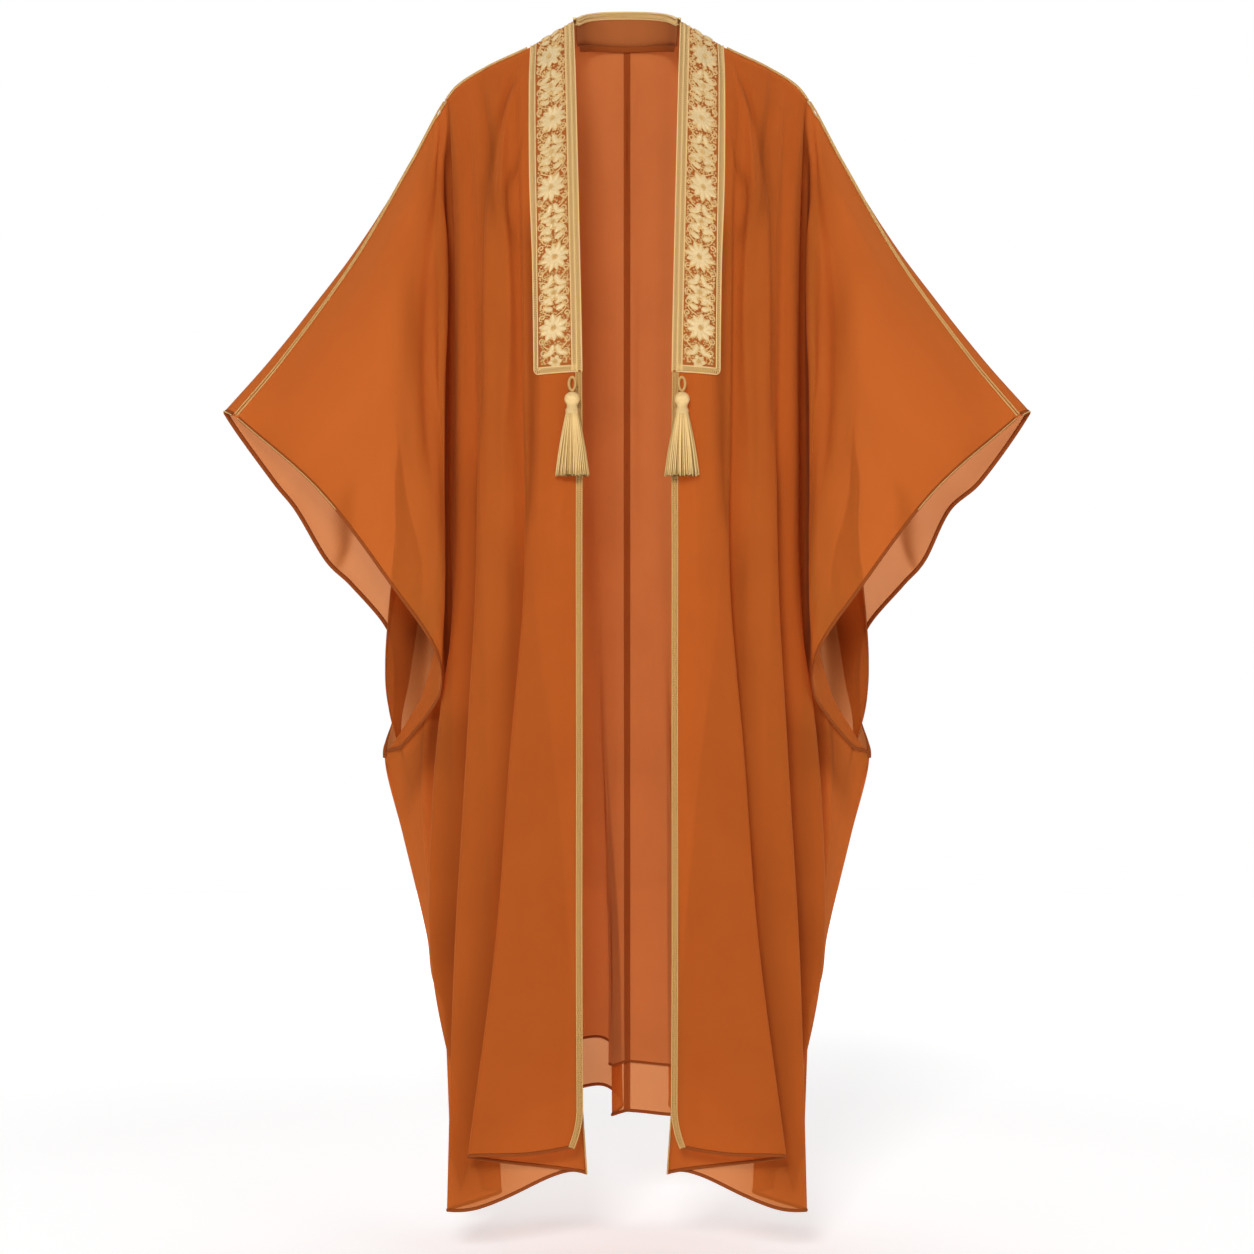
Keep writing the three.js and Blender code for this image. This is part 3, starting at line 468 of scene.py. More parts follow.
# %% Creases and ripples, across and down the cloth in millimetres
CREASE = ("wide", "deep", "step", "soft", "path")
FRONT_CREASES = rows(
    CREASE,
    # from the shoulder and the neck down to the chest
    (14, -7, 0.2, 0.2, [(224, 40), (214, 116), (239, 190), (246, 293), (238, 455)]),
    (11, -6, 0.6, 0.15, [(133, 30), (176, 93), (195, 165)]),
    (9, -4, 0.3, 0.2, [(93, 120), (155, 176), (150, 240)]),
    (13, 5, 0.0, 0.25, [(182, 150), (168, 311), (183, 480)]),
    (11, -6, 0.0, 0.2, [(78, 220), (79, 325), (84, 560)]),
    # the deep fold beside the sleeve, and the sleeve's own
    (12, -9, 0.0, 0.12, [(372, 30), (378, 90), (392, 250), (392, 500), (350, 700)]),
    (14, 5, 0.0, 0.2, [(402, 50), (424, 93), (438, 193), (458, 330)]),
    (13, -8, -0.3, 0.2, [(400, 20), (428, 80), (458, 154), (480, 230), (496, 330)]),
    (26, 6, 0.0, 0.3, [(497, 60), (505, 160), (512, 300)]),
    (12, -3, 0.2, 0.25, [(535, 60), (528, 150), (520, 240)]),
)
BACK_CREASES = rows(
    CREASE,
    (16, -5, 0.0, 0.2, [(70, 120), (64, 400), (58, 800)]),
    (14, 5, 0.2, 0.2, [(150, 60), (140, 300), (132, 700)]),
    (14, -6, 0.2, 0.2, [(230, 60), (218, 260), (210, 620)]),
    (16, -6, 0.0, 0.2, [(330, 90), (335, 250), (330, 480)]),
    (14, 5, 0.0, 0.2, [(420, 60), (400, 220), (380, 420)]),
)
BAND_LENGTH = 426
BAND_WIDTH = 59
BAND_LEVEL = 13


WAVE = ("high", "wide", "long", "shift", "seed")
FRONT_WAVES = rows(WAVE, (1.6, 34, 520, (3, 0), 11), (0.5, 11, 160, (0, 5), 12))
BACK_WAVES = rows(WAVE, (2.0, 38, 560, (9, 2), 21), (0.6, 12, 180, (0, 3), 22))


def waves(table, across, down):
    heights = 0
    for wave in table:
        start, top = wave["shift"]
        noise = soft_noise(across / wave["wide"] + start, down / wave["long"] + top, wave["seed"])
        heights = heights + wave["high"] * noise
    return heights


def front_ripple(across, down):
    """Ripples of a front: none under the band, at the seam or on the side that hangs from the cuff."""
    under_band = 1 - smooth((across - 50) / 30)
    calm = 1 - under_band * (1 - smooth((down - BAND_LENGTH) / 80))
    calm = calm * smooth(down / 60)
    calm = calm * (1 - smooth((across - 400) / 90) * smooth((down - 640) / 120))
    return waves(FRONT_WAVES, across, down) * calm * smooth((across - 4) / 20 + 0.2)


def back_ripple(across, down):
    """Ripples of a back: none at the top seam and the centre back seam."""
    return waves(BACK_WAVES, across, down) * smooth(down / 70) * smooth(across / 15)


print("creases placed by hand: front", len(FRONT_CREASES), "back", len(BACK_CREASES))

# %% [markdown]
# ## Painted shade in the folds
#
# Light that enters a fold meets the cloth again and again, and each time it loses more blue and green than
# red, so a fold looks deeper in colour, and redder, than its crests. Many bounces of light could give that,
# slowly. Here the shade is painted instead: each point of the cloth keeps a painted shade number from 0 to 1
# that its material reads. Part of it is measured from the depth of the folds, and the narrow folds are
# listed one by one, in fold lines and shares of the length.


# %% Shades and the finished grids
# painted shade along paths: how dark it is painted, how far it reaches to the inner and the outer side, how
# softly it fades past the ends of its path, and the path in fold lines and shares of the length
SHADE = ("painted_shade", "inner", "outer", "soft", "path")
FRONT_SHADES = rows(
    SHADE,
    # the underarm fold, and the soft strip beside it
    (0.7, 0.5, 0.1, 0.06,
     [(7.7, 0.02), (8.45, 0.09), (8.9, 0.19), (8.95, 0.29), (8.9, 0.39), (8.8, 0.49), (8.4, 0.57)]),
    (0.15, 0.45, 0.7, 0.15, [(6.6, 0.05), (6.75, 0.12), (6.8, 0.3), (6.75, 0.52)]),
    # from the shoulder and the neck down to the chest, and beside the band
    (0.22, 0.3, 0.3, 0.15, [(4.62, 0.02), (4.43, 0.09), (4.98, 0.13), (5.2, 0.2), (5.3, 0.25), (5.0, 0.36)]),
    (0.3, 0.1, 0.4, 0.12, [(2.95, 0.03), (4.0, 0.07), (4.35, 0.115), (4.2, 0.16)]),
    (0.3, 0.2, 0.4, 0.15, [(2.3, 0.1), (3.5, 0.137), (3.2, 0.19)]),
    (0.5, 0.3, 0.35, 0.12, [(1.95, 0.17), (1.9, 0.25), (1.95, 0.36), (2.0, 0.45)]),
    # on the layers that pass behind the first and second edges
    (0.38, 0.5, 0.3, 0.08, [(3.7, 0.46), (3.8, 0.55), (4.0, 0.66), (4.32, 0.82), (4.68, 1.0)]),
    (0.38, 0.5, 0.3, 0.06, [(6.0, 0.38), (6.2, 0.5), (6.4, 0.66), (6.64, 0.82), (6.9, 0.97)]),
    # below the cuff, and down the side that hangs from it
    (0.4, 2.6, 2.6, 0.3, [(9.6, 0.6), (9.6, 0.62), (9.6, 0.65)]),
    (0.1, 3.0, 3.0, 0.2, [(10.0, 0.62), (9.5, 0.7), (9.0, 0.84)]),
    # the sleeve's shaded inner part and its valley
    (0.06, 1.5, 0.5, 0.15, [(10.4, 0.1), (11.0, 0.2), (11.6, 0.3), (12.0, 0.4)]),
    (0.14, 0.35, 0.35, 0.12, [(8.95, 0.02), (9.42, 0.055), (10.35, 0.118), (10.79, 0.154), (11.32, 0.217)]),
)
BACK_SHADES = rows(
    SHADE,
    (0.2, 0.4, 0.35, 0.05, [(1.9, 0.06), (1.9, 0.4), (1.9, 0.96)]),
    (0.4, 0.5, 0.5, 0.1, [(4.9, 0.05), (5.0, 0.3), (5.1, 0.7)]),
    (0.6, 0.4, 0.4, 0.08, [(6.9, 0.05), (7.0, 0.3), (7.0, 0.62)]),
    (0.4, 0.4, 0.4, 0.12, [(8.2, 0.08), (8.1, 0.25), (8.0, 0.5)]),
    # the inside of the cuff, below the underarm fold
    (0.3, 0.5, 0.6, 0.15, [(8.5, 0.43), (8.45, 0.5), (8.3, 0.6)]),
    (0.4, 0.8, 0.45, 0.15, [(8.2, 0.46), (8.0, 0.54), (7.7, 0.62)]),
    (0.6, 1.4, 0.9, 0.3, [(11.2, 0.54), (11.5, 0.57), (11.8, 0.6)]),
    # the fold across the opening of the cuff
    (0.5, 0.25, 0.3, 0.2, [(11.1, 0.18), (11.4, 0.21), (11.8, 0.235)]),
)
FRONT_GRID = (270, 250)
BACK_GRID = (220, 200)
front_cloth = Cloth(front_surface, *FRONT_GRID, FRONT_CREASES, front_ripple, FRONT_SHADES)
back_cloths = {
    name: Cloth(surface, *BACK_GRID, BACK_CREASES, back_ripple, BACK_SHADES, closed_middle=True)
    for name, surface in back_surfaces.items()
}
print("front cloth:", round(front_cloth.width), "mm round its folds")

# %% [markdown]
# ## From points to meshes
#
# A grid of points becomes a mesh with one face for each cell, and a cord becomes a tube along a line of
# points. Both get flat coordinates in metres: along and across the cloth, or along and round the cord.
# A left piece is the right one mirrored, with its faces turned so that they still look out.


# %% Mesh builders
# stands in a row of four corners where a face has only three
NO_CORNER = -1


class Shape:
    """Points, faces, flat coordinates and material numbers, gathered until the mesh is made."""

    def __init__(self):
        self.points, self.faces, self.flat, self.slots = [], [], [], []
        self.shade = None
        self.count = 0

    def add(self, points, faces, flat, slot=0):
        self.points.append(np.asarray(points, float).reshape(-1, 3))
        self.flat.append(np.asarray(flat, float).reshape(-1, 2))
        self.faces.append(np.asarray(faces, int) + self.count)
        self.slots.append(np.full(len(faces), slot))
        self.count += len(self.points[-1])

    def grid(self, points, flat, slot=0, close_across=False, turn=False):
        """A sheet from a grid of points. close_across joins its last column to its first."""
        columns, lines = points.shape[:2]
        ids = np.arange(columns * lines).reshape(columns, lines)
        if close_across:
            ids = np.vstack([ids, ids[:1]])
        corners = [ids[:-1, :-1], ids[1:, :-1], ids[1:, 1:], ids[:-1, 1:]]
        faces = np.stack([c.ravel() for c in corners], axis=1)
        self.add(points, faces[:, ::-1] if turn else faces, flat, slot)

    def tube(self, line, wide_axis, high_axis, sides, slot=0, caps=True):
        """A tube round a line of points. The two axes give its half sizes at each point."""
        angle = np.arange(sides) * 2 * np.pi / sides
        ring = line[:, None] + wide_axis[:, None] * np.cos(angle)[None, :, None]
        ring = ring + high_axis[:, None] * np.sin(angle)[None, :, None]
        flat = pairs(walk(line)[:, None] * MM, np.arange(sides)[None] / sides)
        self.grid(ring.transpose(1, 0, 2), flat.transpose(1, 0, 2), slot, close_across=True)
        if caps:
            first = self.count - sides * len(line)
            for end, order in ((0, 1), (len(line) - 1, -1)):
                loop = first + (np.arange(sides) * len(line) + end)[::order]
                fan = [(loop[0], loop[i], loop[i + 1], NO_CORNER) for i in range(1, sides - 1)]
                self.faces.append(np.array(fan))
                self.slots.append(np.full(len(fan), slot))


def build(name, shape, sign, materials):
    """Makes the mesh object of a shape in metres, mirrored for the left side, riding on the body."""
    points = np.concatenate(shape.points) * MM
    points[:, 0] *= sign
    flat = np.concatenate(shape.flat)
    faces, slots = [], []
    for part, numbers in zip(shape.faces, shape.slots):
        for face, number in zip(part.tolist(), numbers.tolist()):
            face = [i for i in face if i != NO_CORNER]
            faces.append(face[::-1] if sign < 0 else face)
            slots.append(number)
    mesh = bpy.data.meshes.new(name)
    mesh.from_pydata(points.tolist(), [], faces)
    for material in materials:
        mesh.materials.append(material)
    mesh.polygons.foreach_set("material_index", slots)
    mesh.polygons.foreach_set("use_smooth", [True] * len(faces))
    layer = mesh.uv_layers.new(name="flat")
    corner = np.zeros(len(mesh.loops), int)
    mesh.loops.foreach_get("vertex_index", corner)
    layer.data.foreach_set("uv", flat[corner].ravel())
    # the painted fold shade goes on the mesh as its 'fold' attribute
    if shape.shade is not None:
        mesh.attributes.new("fold", "FLOAT", "POINT").data.foreach_set("value", shape.shade.ravel())
    mesh.update()
    piece = bpy.data.objects.new(name, mesh)
    bpy.context.scene.collection.objects.link(piece)
    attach(piece, "root")
    print(name, len(faces), "faces")
    return piece


def cord_axes(line, outward, wide, high):
    """Half axes of a cord that lies on a surface: wide along the surface, high away from it."""
    ahead = np.gradient(line, axis=0)
    ahead /= np.linalg.norm(ahead, axis=1, keepdims=True)
    side = np.cross(ahead, outward)
    side /= np.linalg.norm(side, axis=1, keepdims=True)
    up = np.cross(side, ahead)
    return side * wide, up * high


print("an empty shape has", Shape().count, "points")

# %% [markdown]
# ## The weave
#
# Georgette is a plain weave of tightly twisted threads, so it is sheer and a little grainy. A small group
# of nodes makes threads both ways from the flat coordinates, and puts out their height for a bump. Real
# threads would be millions of faces, and at arm's length only their grain shows.


# %% Node helpers and the weave group
def node(tree, kind, at, inputs=None, **settings):
    """A new node at a place in its tree, with values or links for its inputs."""
    made = tree.nodes.new(kind)
    made.location = at
    for key, value in settings.items():
        setattr(made, key, value)
    for key, value in (inputs or {}).items():
        socket = made.inputs[key]
        if isinstance(value, bpy.types.NodeSocket):
            tree.links.new(value, socket)
        else:
            socket.default_value = value
    return made


def group(name, takes, gives):
    """A new node group, with the sockets that it takes and gives."""
    tree = bpy.data.node_groups.new(name, "ShaderNodeTree")
    for label, kind, value in takes:
        made = tree.interface.new_socket(label, in_out="INPUT", socket_type=kind)
        if value is not None:
            made.default_value = value
    for label, kind in gives:
        tree.interface.new_socket(label, in_out="OUTPUT", socket_type=kind)
    start = node(tree, "NodeGroupInput", (-900, 0))
    stop = node(tree, "NodeGroupOutput", (900, 0))
    return tree, start.outputs, stop.inputs


def maths(tree, operation, first, second=0.0, third=0.5, at=(0, 0)):
    """The result of a new maths node. Only some operations, such as MULTIPLY_ADD, use the third input."""
    return node(tree, "ShaderNodeMath", at, {0: first, 1: second, 2: third}, operation=operation).outputs[0]


FLOAT, VECTOR = "NodeSocketFloat", "NodeSocketVector"
weave_group, takes, gives = group(
    "plain weave",
    [("Flat", VECTOR, None), ("Threads per metre", FLOAT, 1500.0), ("Unevenness", FLOAT, 0.3)],
    [("Height", FLOAT)],
)
split = node(weave_group, "ShaderNodeSeparateXYZ", (-700, 0), {0: takes["Flat"]}).outputs
thread_waves = []
for axis in ("X", "Y"):
    turns = maths(weave_group, "MULTIPLY", split[axis], takes["Threads per metre"])
    wave = maths(weave_group, "SINE", maths(weave_group, "MULTIPLY", turns, 2 * math.pi))
    thread_waves.append(maths(weave_group, "MULTIPLY_ADD", wave, 0.5, 0.5))
slub = node(weave_group, "ShaderNodeTexNoise", (-500, -300), {"Vector": takes["Flat"], "Scale": 700.0})
over = maths(weave_group, "MAXIMUM", thread_waves[0], thread_waves[1])
uneven = maths(weave_group, "MULTIPLY", slub.outputs[0], takes["Unevenness"])
weave_group.links.new(maths(weave_group, "ADD", over, uneven), gives["Height"])
print("group:", weave_group.name)

# %% [markdown]
# ## Georgette
#
# Light does three things to sheer cloth: some returns from the threads, some glows through them, and some
# passes straight between them, tinted by the dye. One see-through Principled shader could stand for all
# three, but its glow would be missing. So the material mixes a Principled shader, a Translucent one and a
# tinted Transparent one, and layers darken each other: one layer over white is peach, and two are rust.
# The painted fold shade of the mesh deepens all three colours and closes the gaps between the threads.


# %% The sheer cloth material
CREPE_SCALE = 420.0
CLOUD_SCALE = 9.0
# the share of the threads' light that glows through, and how much of the gaps a deep fold closes
GLOW_SHARE = 0.22
FOLD_CLOSES = 0.9
# how fast the gaps close as the cloth turns away from the eye
SLANT_POWER = 2.2


def sheer_cloth(name, colour, painted_shade, glow, tint, openness, threads=1500.0):
    """Threads that return light and glow, with tinted gaps between them, darkened and closed by painted shade
    in the folds.
    """
    material = bpy.data.materials.new(name)
    material.use_nodes = True
    tree = material.node_tree
    tree.nodes.clear()
    flat = node(tree, "ShaderNodeUVMap", (-1200, 0), uv_map="flat").outputs[0]
    weave = node(tree, "ShaderNodeGroup", (-900, 200), node_tree=weave_group)
    tree.links.new(flat, weave.inputs["Flat"])
    weave.inputs["Threads per metre"].default_value = threads
    cloud = node(tree, "ShaderNodeTexNoise", (-900, -100),
                 {"Vector": flat, "Scale": CLOUD_SCALE, "Detail": 3.0})
    # 'fold' is the painted fold shade of the mesh; the cloud adds a patchy tone to it
    fold = node(tree, "ShaderNodeAttribute", (-1200, -200), attribute_name="fold").outputs["Fac"]
    tone_and_painted_shade = maths(tree, "MULTIPLY_ADD", cloud.outputs[0], 0.25, fold, (-750, -100))
    shades = []
    # each colour mixes towards its colour in painted shade as the painted fold shade grows
    for at, bright, deep in ((200, colour, painted_shade), (-200, glow, painted_shade), (-500, tint, TINT_IN_PAINTED_SHADE)):
        shade = node(tree, "ShaderNodeMix", (-500, at), data_type="RGBA", clamp_factor=True)
        tree.links.new(tone_and_painted_shade, shade.inputs["Factor"])
        shade.inputs["A"].default_value = (*bright, 1)
        shade.inputs["B"].default_value = (*deep, 1)
        shades.append(shade.outputs["Result"])
    crepe = node(tree, "ShaderNodeTexNoise", (-900, -400),
                 {"Vector": flat, "Scale": CREPE_SCALE, "Detail": 2.0})
    grain = maths(tree, "MULTIPLY_ADD", crepe.outputs[0], 0.8, weave.outputs["Height"], (-600, -300))
    bump = node(tree, "ShaderNodeBump", (-300, -300),
                {"Strength": 0.25, "Distance": 0.0003, "Height": grain})
    body = node(
        tree, "ShaderNodeBsdfPrincipled", (0, 200),
        {"Base Color": shades[0], "Roughness": 0.85, "Normal": bump.outputs[0], "Specular IOR Level": 0.08,
         "Sheen Weight": 0.04, "Sheen Roughness": 0.5, "Sheen Tint": (1.0, 0.5, 0.25, 1)},
    )
    through_light = node(tree, "ShaderNodeBsdfTranslucent", (0, -200), {"Color": shades[1]})
    between = node(tree, "ShaderNodeBsdfTransparent", (0, -400), {"Color": shades[2]})
    threads_mix = node(tree, "ShaderNodeMixShader", (300, 100),
                       {0: GLOW_SHARE, 1: body.outputs[0], 2: through_light.outputs[0]})
    slant = node(tree, "ShaderNodeLayerWeight", (-300, -600), {"Blend": 0.5}).outputs["Facing"]
    straight = maths(tree, "SUBTRACT", 1.0, maths(tree, "POWER", slant, SLANT_POWER), at=(-100, -600))
    # the painted fold shade also closes the gaps between the threads
    closed = maths(tree, "MULTIPLY", fold, openness * FOLD_CLOSES)
    closing = maths(tree, "SUBTRACT", openness, closed, at=(-100, -800))
    open_share = maths(tree, "MULTIPLY", straight, closing, at=(100, -600))
    whole = node(tree, "ShaderNodeMixShader", (500, 0),
                 {0: open_share, 1: threads_mix.outputs[0], 2: between.outputs[0]})
    out = node(tree, "ShaderNodeOutputMaterial", (700, 0))
    tree.links.new(whole.outputs[0], out.inputs[0])
    return material


RUST = (0.73, 0.203, 0.034)
# the cloth's colour and its see-through tint in painted fold shade
RUST_IN_PAINTED_SHADE = (0.13, 0.018, 0.0015)
TINT_IN_PAINTED_SHADE = (0.55, 0.16, 0.04)
GLOW = (0.68, 0.20, 0.033)
TINT = (0.86, 0.42, 0.21)
georgette = sheer_cloth("georgette", RUST, RUST_IN_PAINTED_SHADE, GLOW, TINT, 0.44)
LINING_RUST = (0.80, 0.34, 0.11)
LINING_GLOW = (0.72, 0.28, 0.09)
lining = sheer_cloth("sheer back layer", LINING_RUST, RUST_IN_PAINTED_SHADE, LINING_GLOW, TINT, 0.48, 1300.0)
hem_cloth = sheer_cloth("rolled hem", (0.40, 0.10, 0.02), (0.12, 0.025, 0.004), GLOW, TINT, 0.12)
facing = sheer_cloth("neck facing", (0.50, 0.16, 0.045), (0.3, 0.08, 0.02), GLOW, TINT, 0.06)
print("cloth materials:", georgette.name, lining.name, hem_cloth.name, facing.name)

# %% [markdown]
# ## Gold thread
#
# The braids are woven from metallic thread: yellow, satiny, and bright only where a strand turns to the
# light. A group makes slanted strands from the flat coordinates of a tube or strip, each braid's material
# gives it a pitch, and the colour between the strands is painted shade.

# %% The strand group and gold materials
strand_group, takes, gives = group(
    "slanted strands",
    [("Flat", VECTOR, None), ("Strands per metre", FLOAT, 500.0), ("Turns round", FLOAT, 1.0)],
    [("Height", FLOAT)],
)
split = node(strand_group, "ShaderNodeSeparateXYZ", (-700, 0), {0: takes["Flat"]}).outputs
along = maths(strand_group, "MULTIPLY", split["X"], takes["Strands per metre"])
round_it = maths(strand_group, "MULTIPLY", split["Y"], takes["Turns round"])
phase = maths(strand_group, "MULTIPLY", maths(strand_group, "ADD", along, round_it), 2 * math.pi)
wave = maths(strand_group, "SINE", phase)
strand_group.links.new(maths(strand_group, "ABSOLUTE", wave), gives["Height"])


def gold_thread(name, colour, painted_shade, strands, turns, bump_mm=0.4, rough=0.42, metal=0.35):
    """Metallic thread with painted shade between its strands, and paler in patches along it."""
    material = bpy.data.materials.new(name)
    material.use_nodes = True
    tree = material.node_tree
    body = tree.nodes["Principled BSDF"]
    flat = node(tree, "ShaderNodeUVMap", (-1000, 0), uv_map="flat").outputs[0]
    strand = node(tree, "ShaderNodeGroup", (-800, 0), node_tree=strand_group)
    tree.links.new(flat, strand.inputs["Flat"])
    strand.inputs["Strands per metre"].default_value = strands
    strand.inputs["Turns round"].default_value = turns
    cloud = node(tree, "ShaderNodeTexNoise", (-800, -300), {"Vector": flat, "Scale": 260.0, "Detail": 2.0})
    patches = maths(tree, "MULTIPLY_ADD", cloud.outputs[0], 3.0, -0.8, (-700, -300))
    # painted shade between the strands: where a strand's height is low the colour mixes to the dark one
    share = maths(tree, "MULTIPLY", strand.outputs[0], patches, at=(-600, -100))
    share = maths(tree, "MULTIPLY", share, 1.9, at=(-500, -100))
    shade = node(tree, "ShaderNodeMix", (-400, 0), data_type="RGBA", clamp_factor=True)
    tree.links.new(share, shade.inputs["Factor"])
    shade.inputs["A"].default_value = (*painted_shade, 1)
    shade.inputs["B"].default_value = (*colour, 1)
    tree.links.new(shade.outputs["Result"], body.inputs["Base Color"])
    bump = node(tree, "ShaderNodeBump", (-300, -300),
                {"Strength": 0.8, "Distance": bump_mm * MM, "Height": strand.outputs[0]})
    tree.links.new(bump.outputs[0], body.inputs["Normal"])
    body.inputs["Roughness"].default_value = rough
    body.inputs["Metallic"].default_value = metal
    return material


# each DARK_ colour is the painted shade that its thread takes between the strands
GOLD = (1.0, 0.70, 0.30)
DARK_GOLD = (0.70, 0.43, 0.14)
CORD_GOLD = (0.80, 0.50, 0.18)
DARK_CORD = (0.46, 0.24, 0.06)
UNDER_BRAID = (0.62, 0.35, 0.11)
DARK_UNDER_BRAID = (0.44, 0.21, 0.05)
PETAL_GOLD = (0.96, 0.74, 0.40)
DARK_PETAL = (0.46, 0.27, 0.08)
STEM_GOLD = (0.98, 0.68, 0.30)
DARK_STEM = (0.58, 0.34, 0.10)
SEQUIN_GOLD = (1.0, 0.82, 0.48)
DARK_SEQUIN = (0.78, 0.52, 0.20)
SILK = (0.80, 0.55, 0.22)
DARK_SILK = (0.54, 0.31, 0.09)
# the silk again in painted shade, for the strands that lie between two locks
SHADED_SILK = (0.52, 0.31, 0.09)
DARK_SHADED_SILK = (0.34, 0.18, 0.04)
HEAD_SILK = (0.86, 0.60, 0.26)
DARK_HEAD_SILK = (0.60, 0.36, 0.12)
DARK_WRAP_SILK = (0.56, 0.33, 0.11)
braid_gold = gold_thread("gold braid", GOLD, DARK_GOLD, 420.0, 1.0, metal=0.15)
cord_gold = gold_thread("gold cord", CORD_GOLD, DARK_CORD, 330.0, 1.0, 0.4, 0.55, 0.45)
braid_ground = gold_thread("braid ground", UNDER_BRAID, DARK_UNDER_BRAID, 420.0, 1.0, metal=0.05)
petal_gold = gold_thread("pale satin stitch", PETAL_GOLD, DARK_PETAL, 700.0, 0.6, 0.25, 0.38, 0.15)
stem_gold = gold_thread("couched stem cord", STEM_GOLD, DARK_STEM, 500.0, 1.0, metal=0.1)
sequin_gold = gold_thread("sequin", SEQUIN_GOLD, DARK_SEQUIN, 0.0, 0.0, 0.05, 0.3, 0.15)
band_ground = sheer_cloth("band ground", (0.50, 0.15, 0.035), (0.3, 0.08, 0.02), GLOW, TINT, 0.02)
silk = gold_thread("tassel silk", SILK, DARK_SILK, 0.0, 1.0, 0.1, 0.45, 0.05)
silk_shade = gold_thread("tassel silk in shade", SHADED_SILK, DARK_SHADED_SILK, 0.0, 1.0, 0.1, 0.5, 0.05)
silk_head = gold_thread("tassel head silk", HEAD_SILK, DARK_HEAD_SILK, 0.0, 22.0, 0.2, 0.4, 0.05)
silk_wrap = gold_thread("tassel wrap silk", HEAD_SILK, DARK_WRAP_SILK, 700.0, 0.0, 0.3, 0.4, 0.05)
print("gold materials:", braid_gold.name, cord_gold.name, petal_gold.name, silk.name)

# %% [markdown]
# ## The fronts and the back
#
# Each half of a front and of the back is one sheet, cut in one with its half of the wide sleeve. The back
# has a second, shorter layer inside it. A cloth simulation could drape flat panels over a wearer, but it
# needs the wearer, and its folds fall where chance puts them. Here each sheet is a grid of points from the
# fold lines, so every fold hangs where it should, and the sheet is as fine as its creases need.


# %% Cut the cloth
LINING_GAP = 3.5
LINING_TOP = 3 / BACK_LENGTH
LINING_FOOT = 1 - 62 / BACK_LENGTH
LINING_LAST = 6.5


def flat_of(cloth, u, v):
    """Flat coordinates of a cloth's places, in metres round its folds and down it."""
    across = np.interp(u, cloth.u, cloth.s) * MM
    return pairs(across[:, None], (v * cloth.length * MM)[None])


def whole_sheet(cloth, turn):
    shape = Shape()
    shape.grid(cloth.points, flat_of(cloth, cloth.u, cloth.v), turn=turn)
    shape.shade = cloth.shade
    return shape


cloth_pieces = {}
for side in SIDES:
    name, sign = side["name"], side["sign"]
    sheet = whole_sheet(front_cloth, turn=True)
    cloth_pieces[f"front_{name}"] = build(f"front_cloth_{name}", sheet, sign, [georgette])
    back = back_cloths[name]
    sheet = whole_sheet(back, turn=False)
    cloth_pieces[f"back_{name}"] = build(f"back_cloth_{name}", sheet, sign, [georgette])
    u = np.linspace(0, LINING_LAST, 110)
    v = np.linspace(LINING_TOP, LINING_FOOT, 140)
    sheet = Shape()
    points = back.at(u[:, None], v[None], -LINING_GAP - CLOTH_MIDDLE)
    points[0, :, 0] = -SEAM_LAP
    sheet.grid(points, flat_of(back, u, v))
    cloth_pieces[f"back_lining_{name}"] = build(f"back_layer_cloth_{name}", sheet, sign, [lining])

# %% [markdown]
# ## Hems
#
# Sheer cloth frays, so its edges are rolled twice and stitched. A rolled hem is a narrow, dense cord of
# its own cloth, darker than the sheer cloth beside it. The cuffs carry a fine gold cord on the roll, and
# tapes cover the centre back seam inside. A bevel of the sheet's rim could round it off, but it would stay
# as thin as the sheet, so each roll is a tube laid along the edge.

# %% Rolled hems
HEM_WIDE = 2.0
HEM_HIGH = 0.9
CUFF_HEM = 2.6
CUFF_CORD_END = 0.16
CUFF_TOP = 0.004
TAPE_ACROSS = (-SEAM_LAP, 1.6, 3.2, 4.0)
TAPE_TURN = 0.8
FOOT_TAPE_ACROSS = (-SEAM_LAP, 2, 4.0)


def edge_line(cloth, u, v, lift):
    """A line on a cloth, with the directions that point away from the cloth along it."""
    line = cloth.at(u, v, lift)
    outward = cloth.at(u, v, 1.0) - cloth.at(u, v, 0.0)
    return line, outward


def lay_cord(shape, cloth, u, v, wide, high, sides, slot=0, lift=0.0):
    line, outward = edge_line(cloth, u, v, lift)
    shape.tube(line, *cord_axes(line, outward, wide, high), sides, slot)


def lay_tape(shape, cloth, v, lift, across, turned=0.0):
    """A tape down the seam at the cloth's centre, its last edge turned towards the cloth."""
    tape = np.array([cloth.at(0.0, v, lift)] * len(across))
    tape[..., 0] = np.array(across)[:, None]
    tape[-1, :, 1] += turned
    shape.grid(tape, pairs(tape[..., 0], v[None] * BACK_LENGTH) * MM)


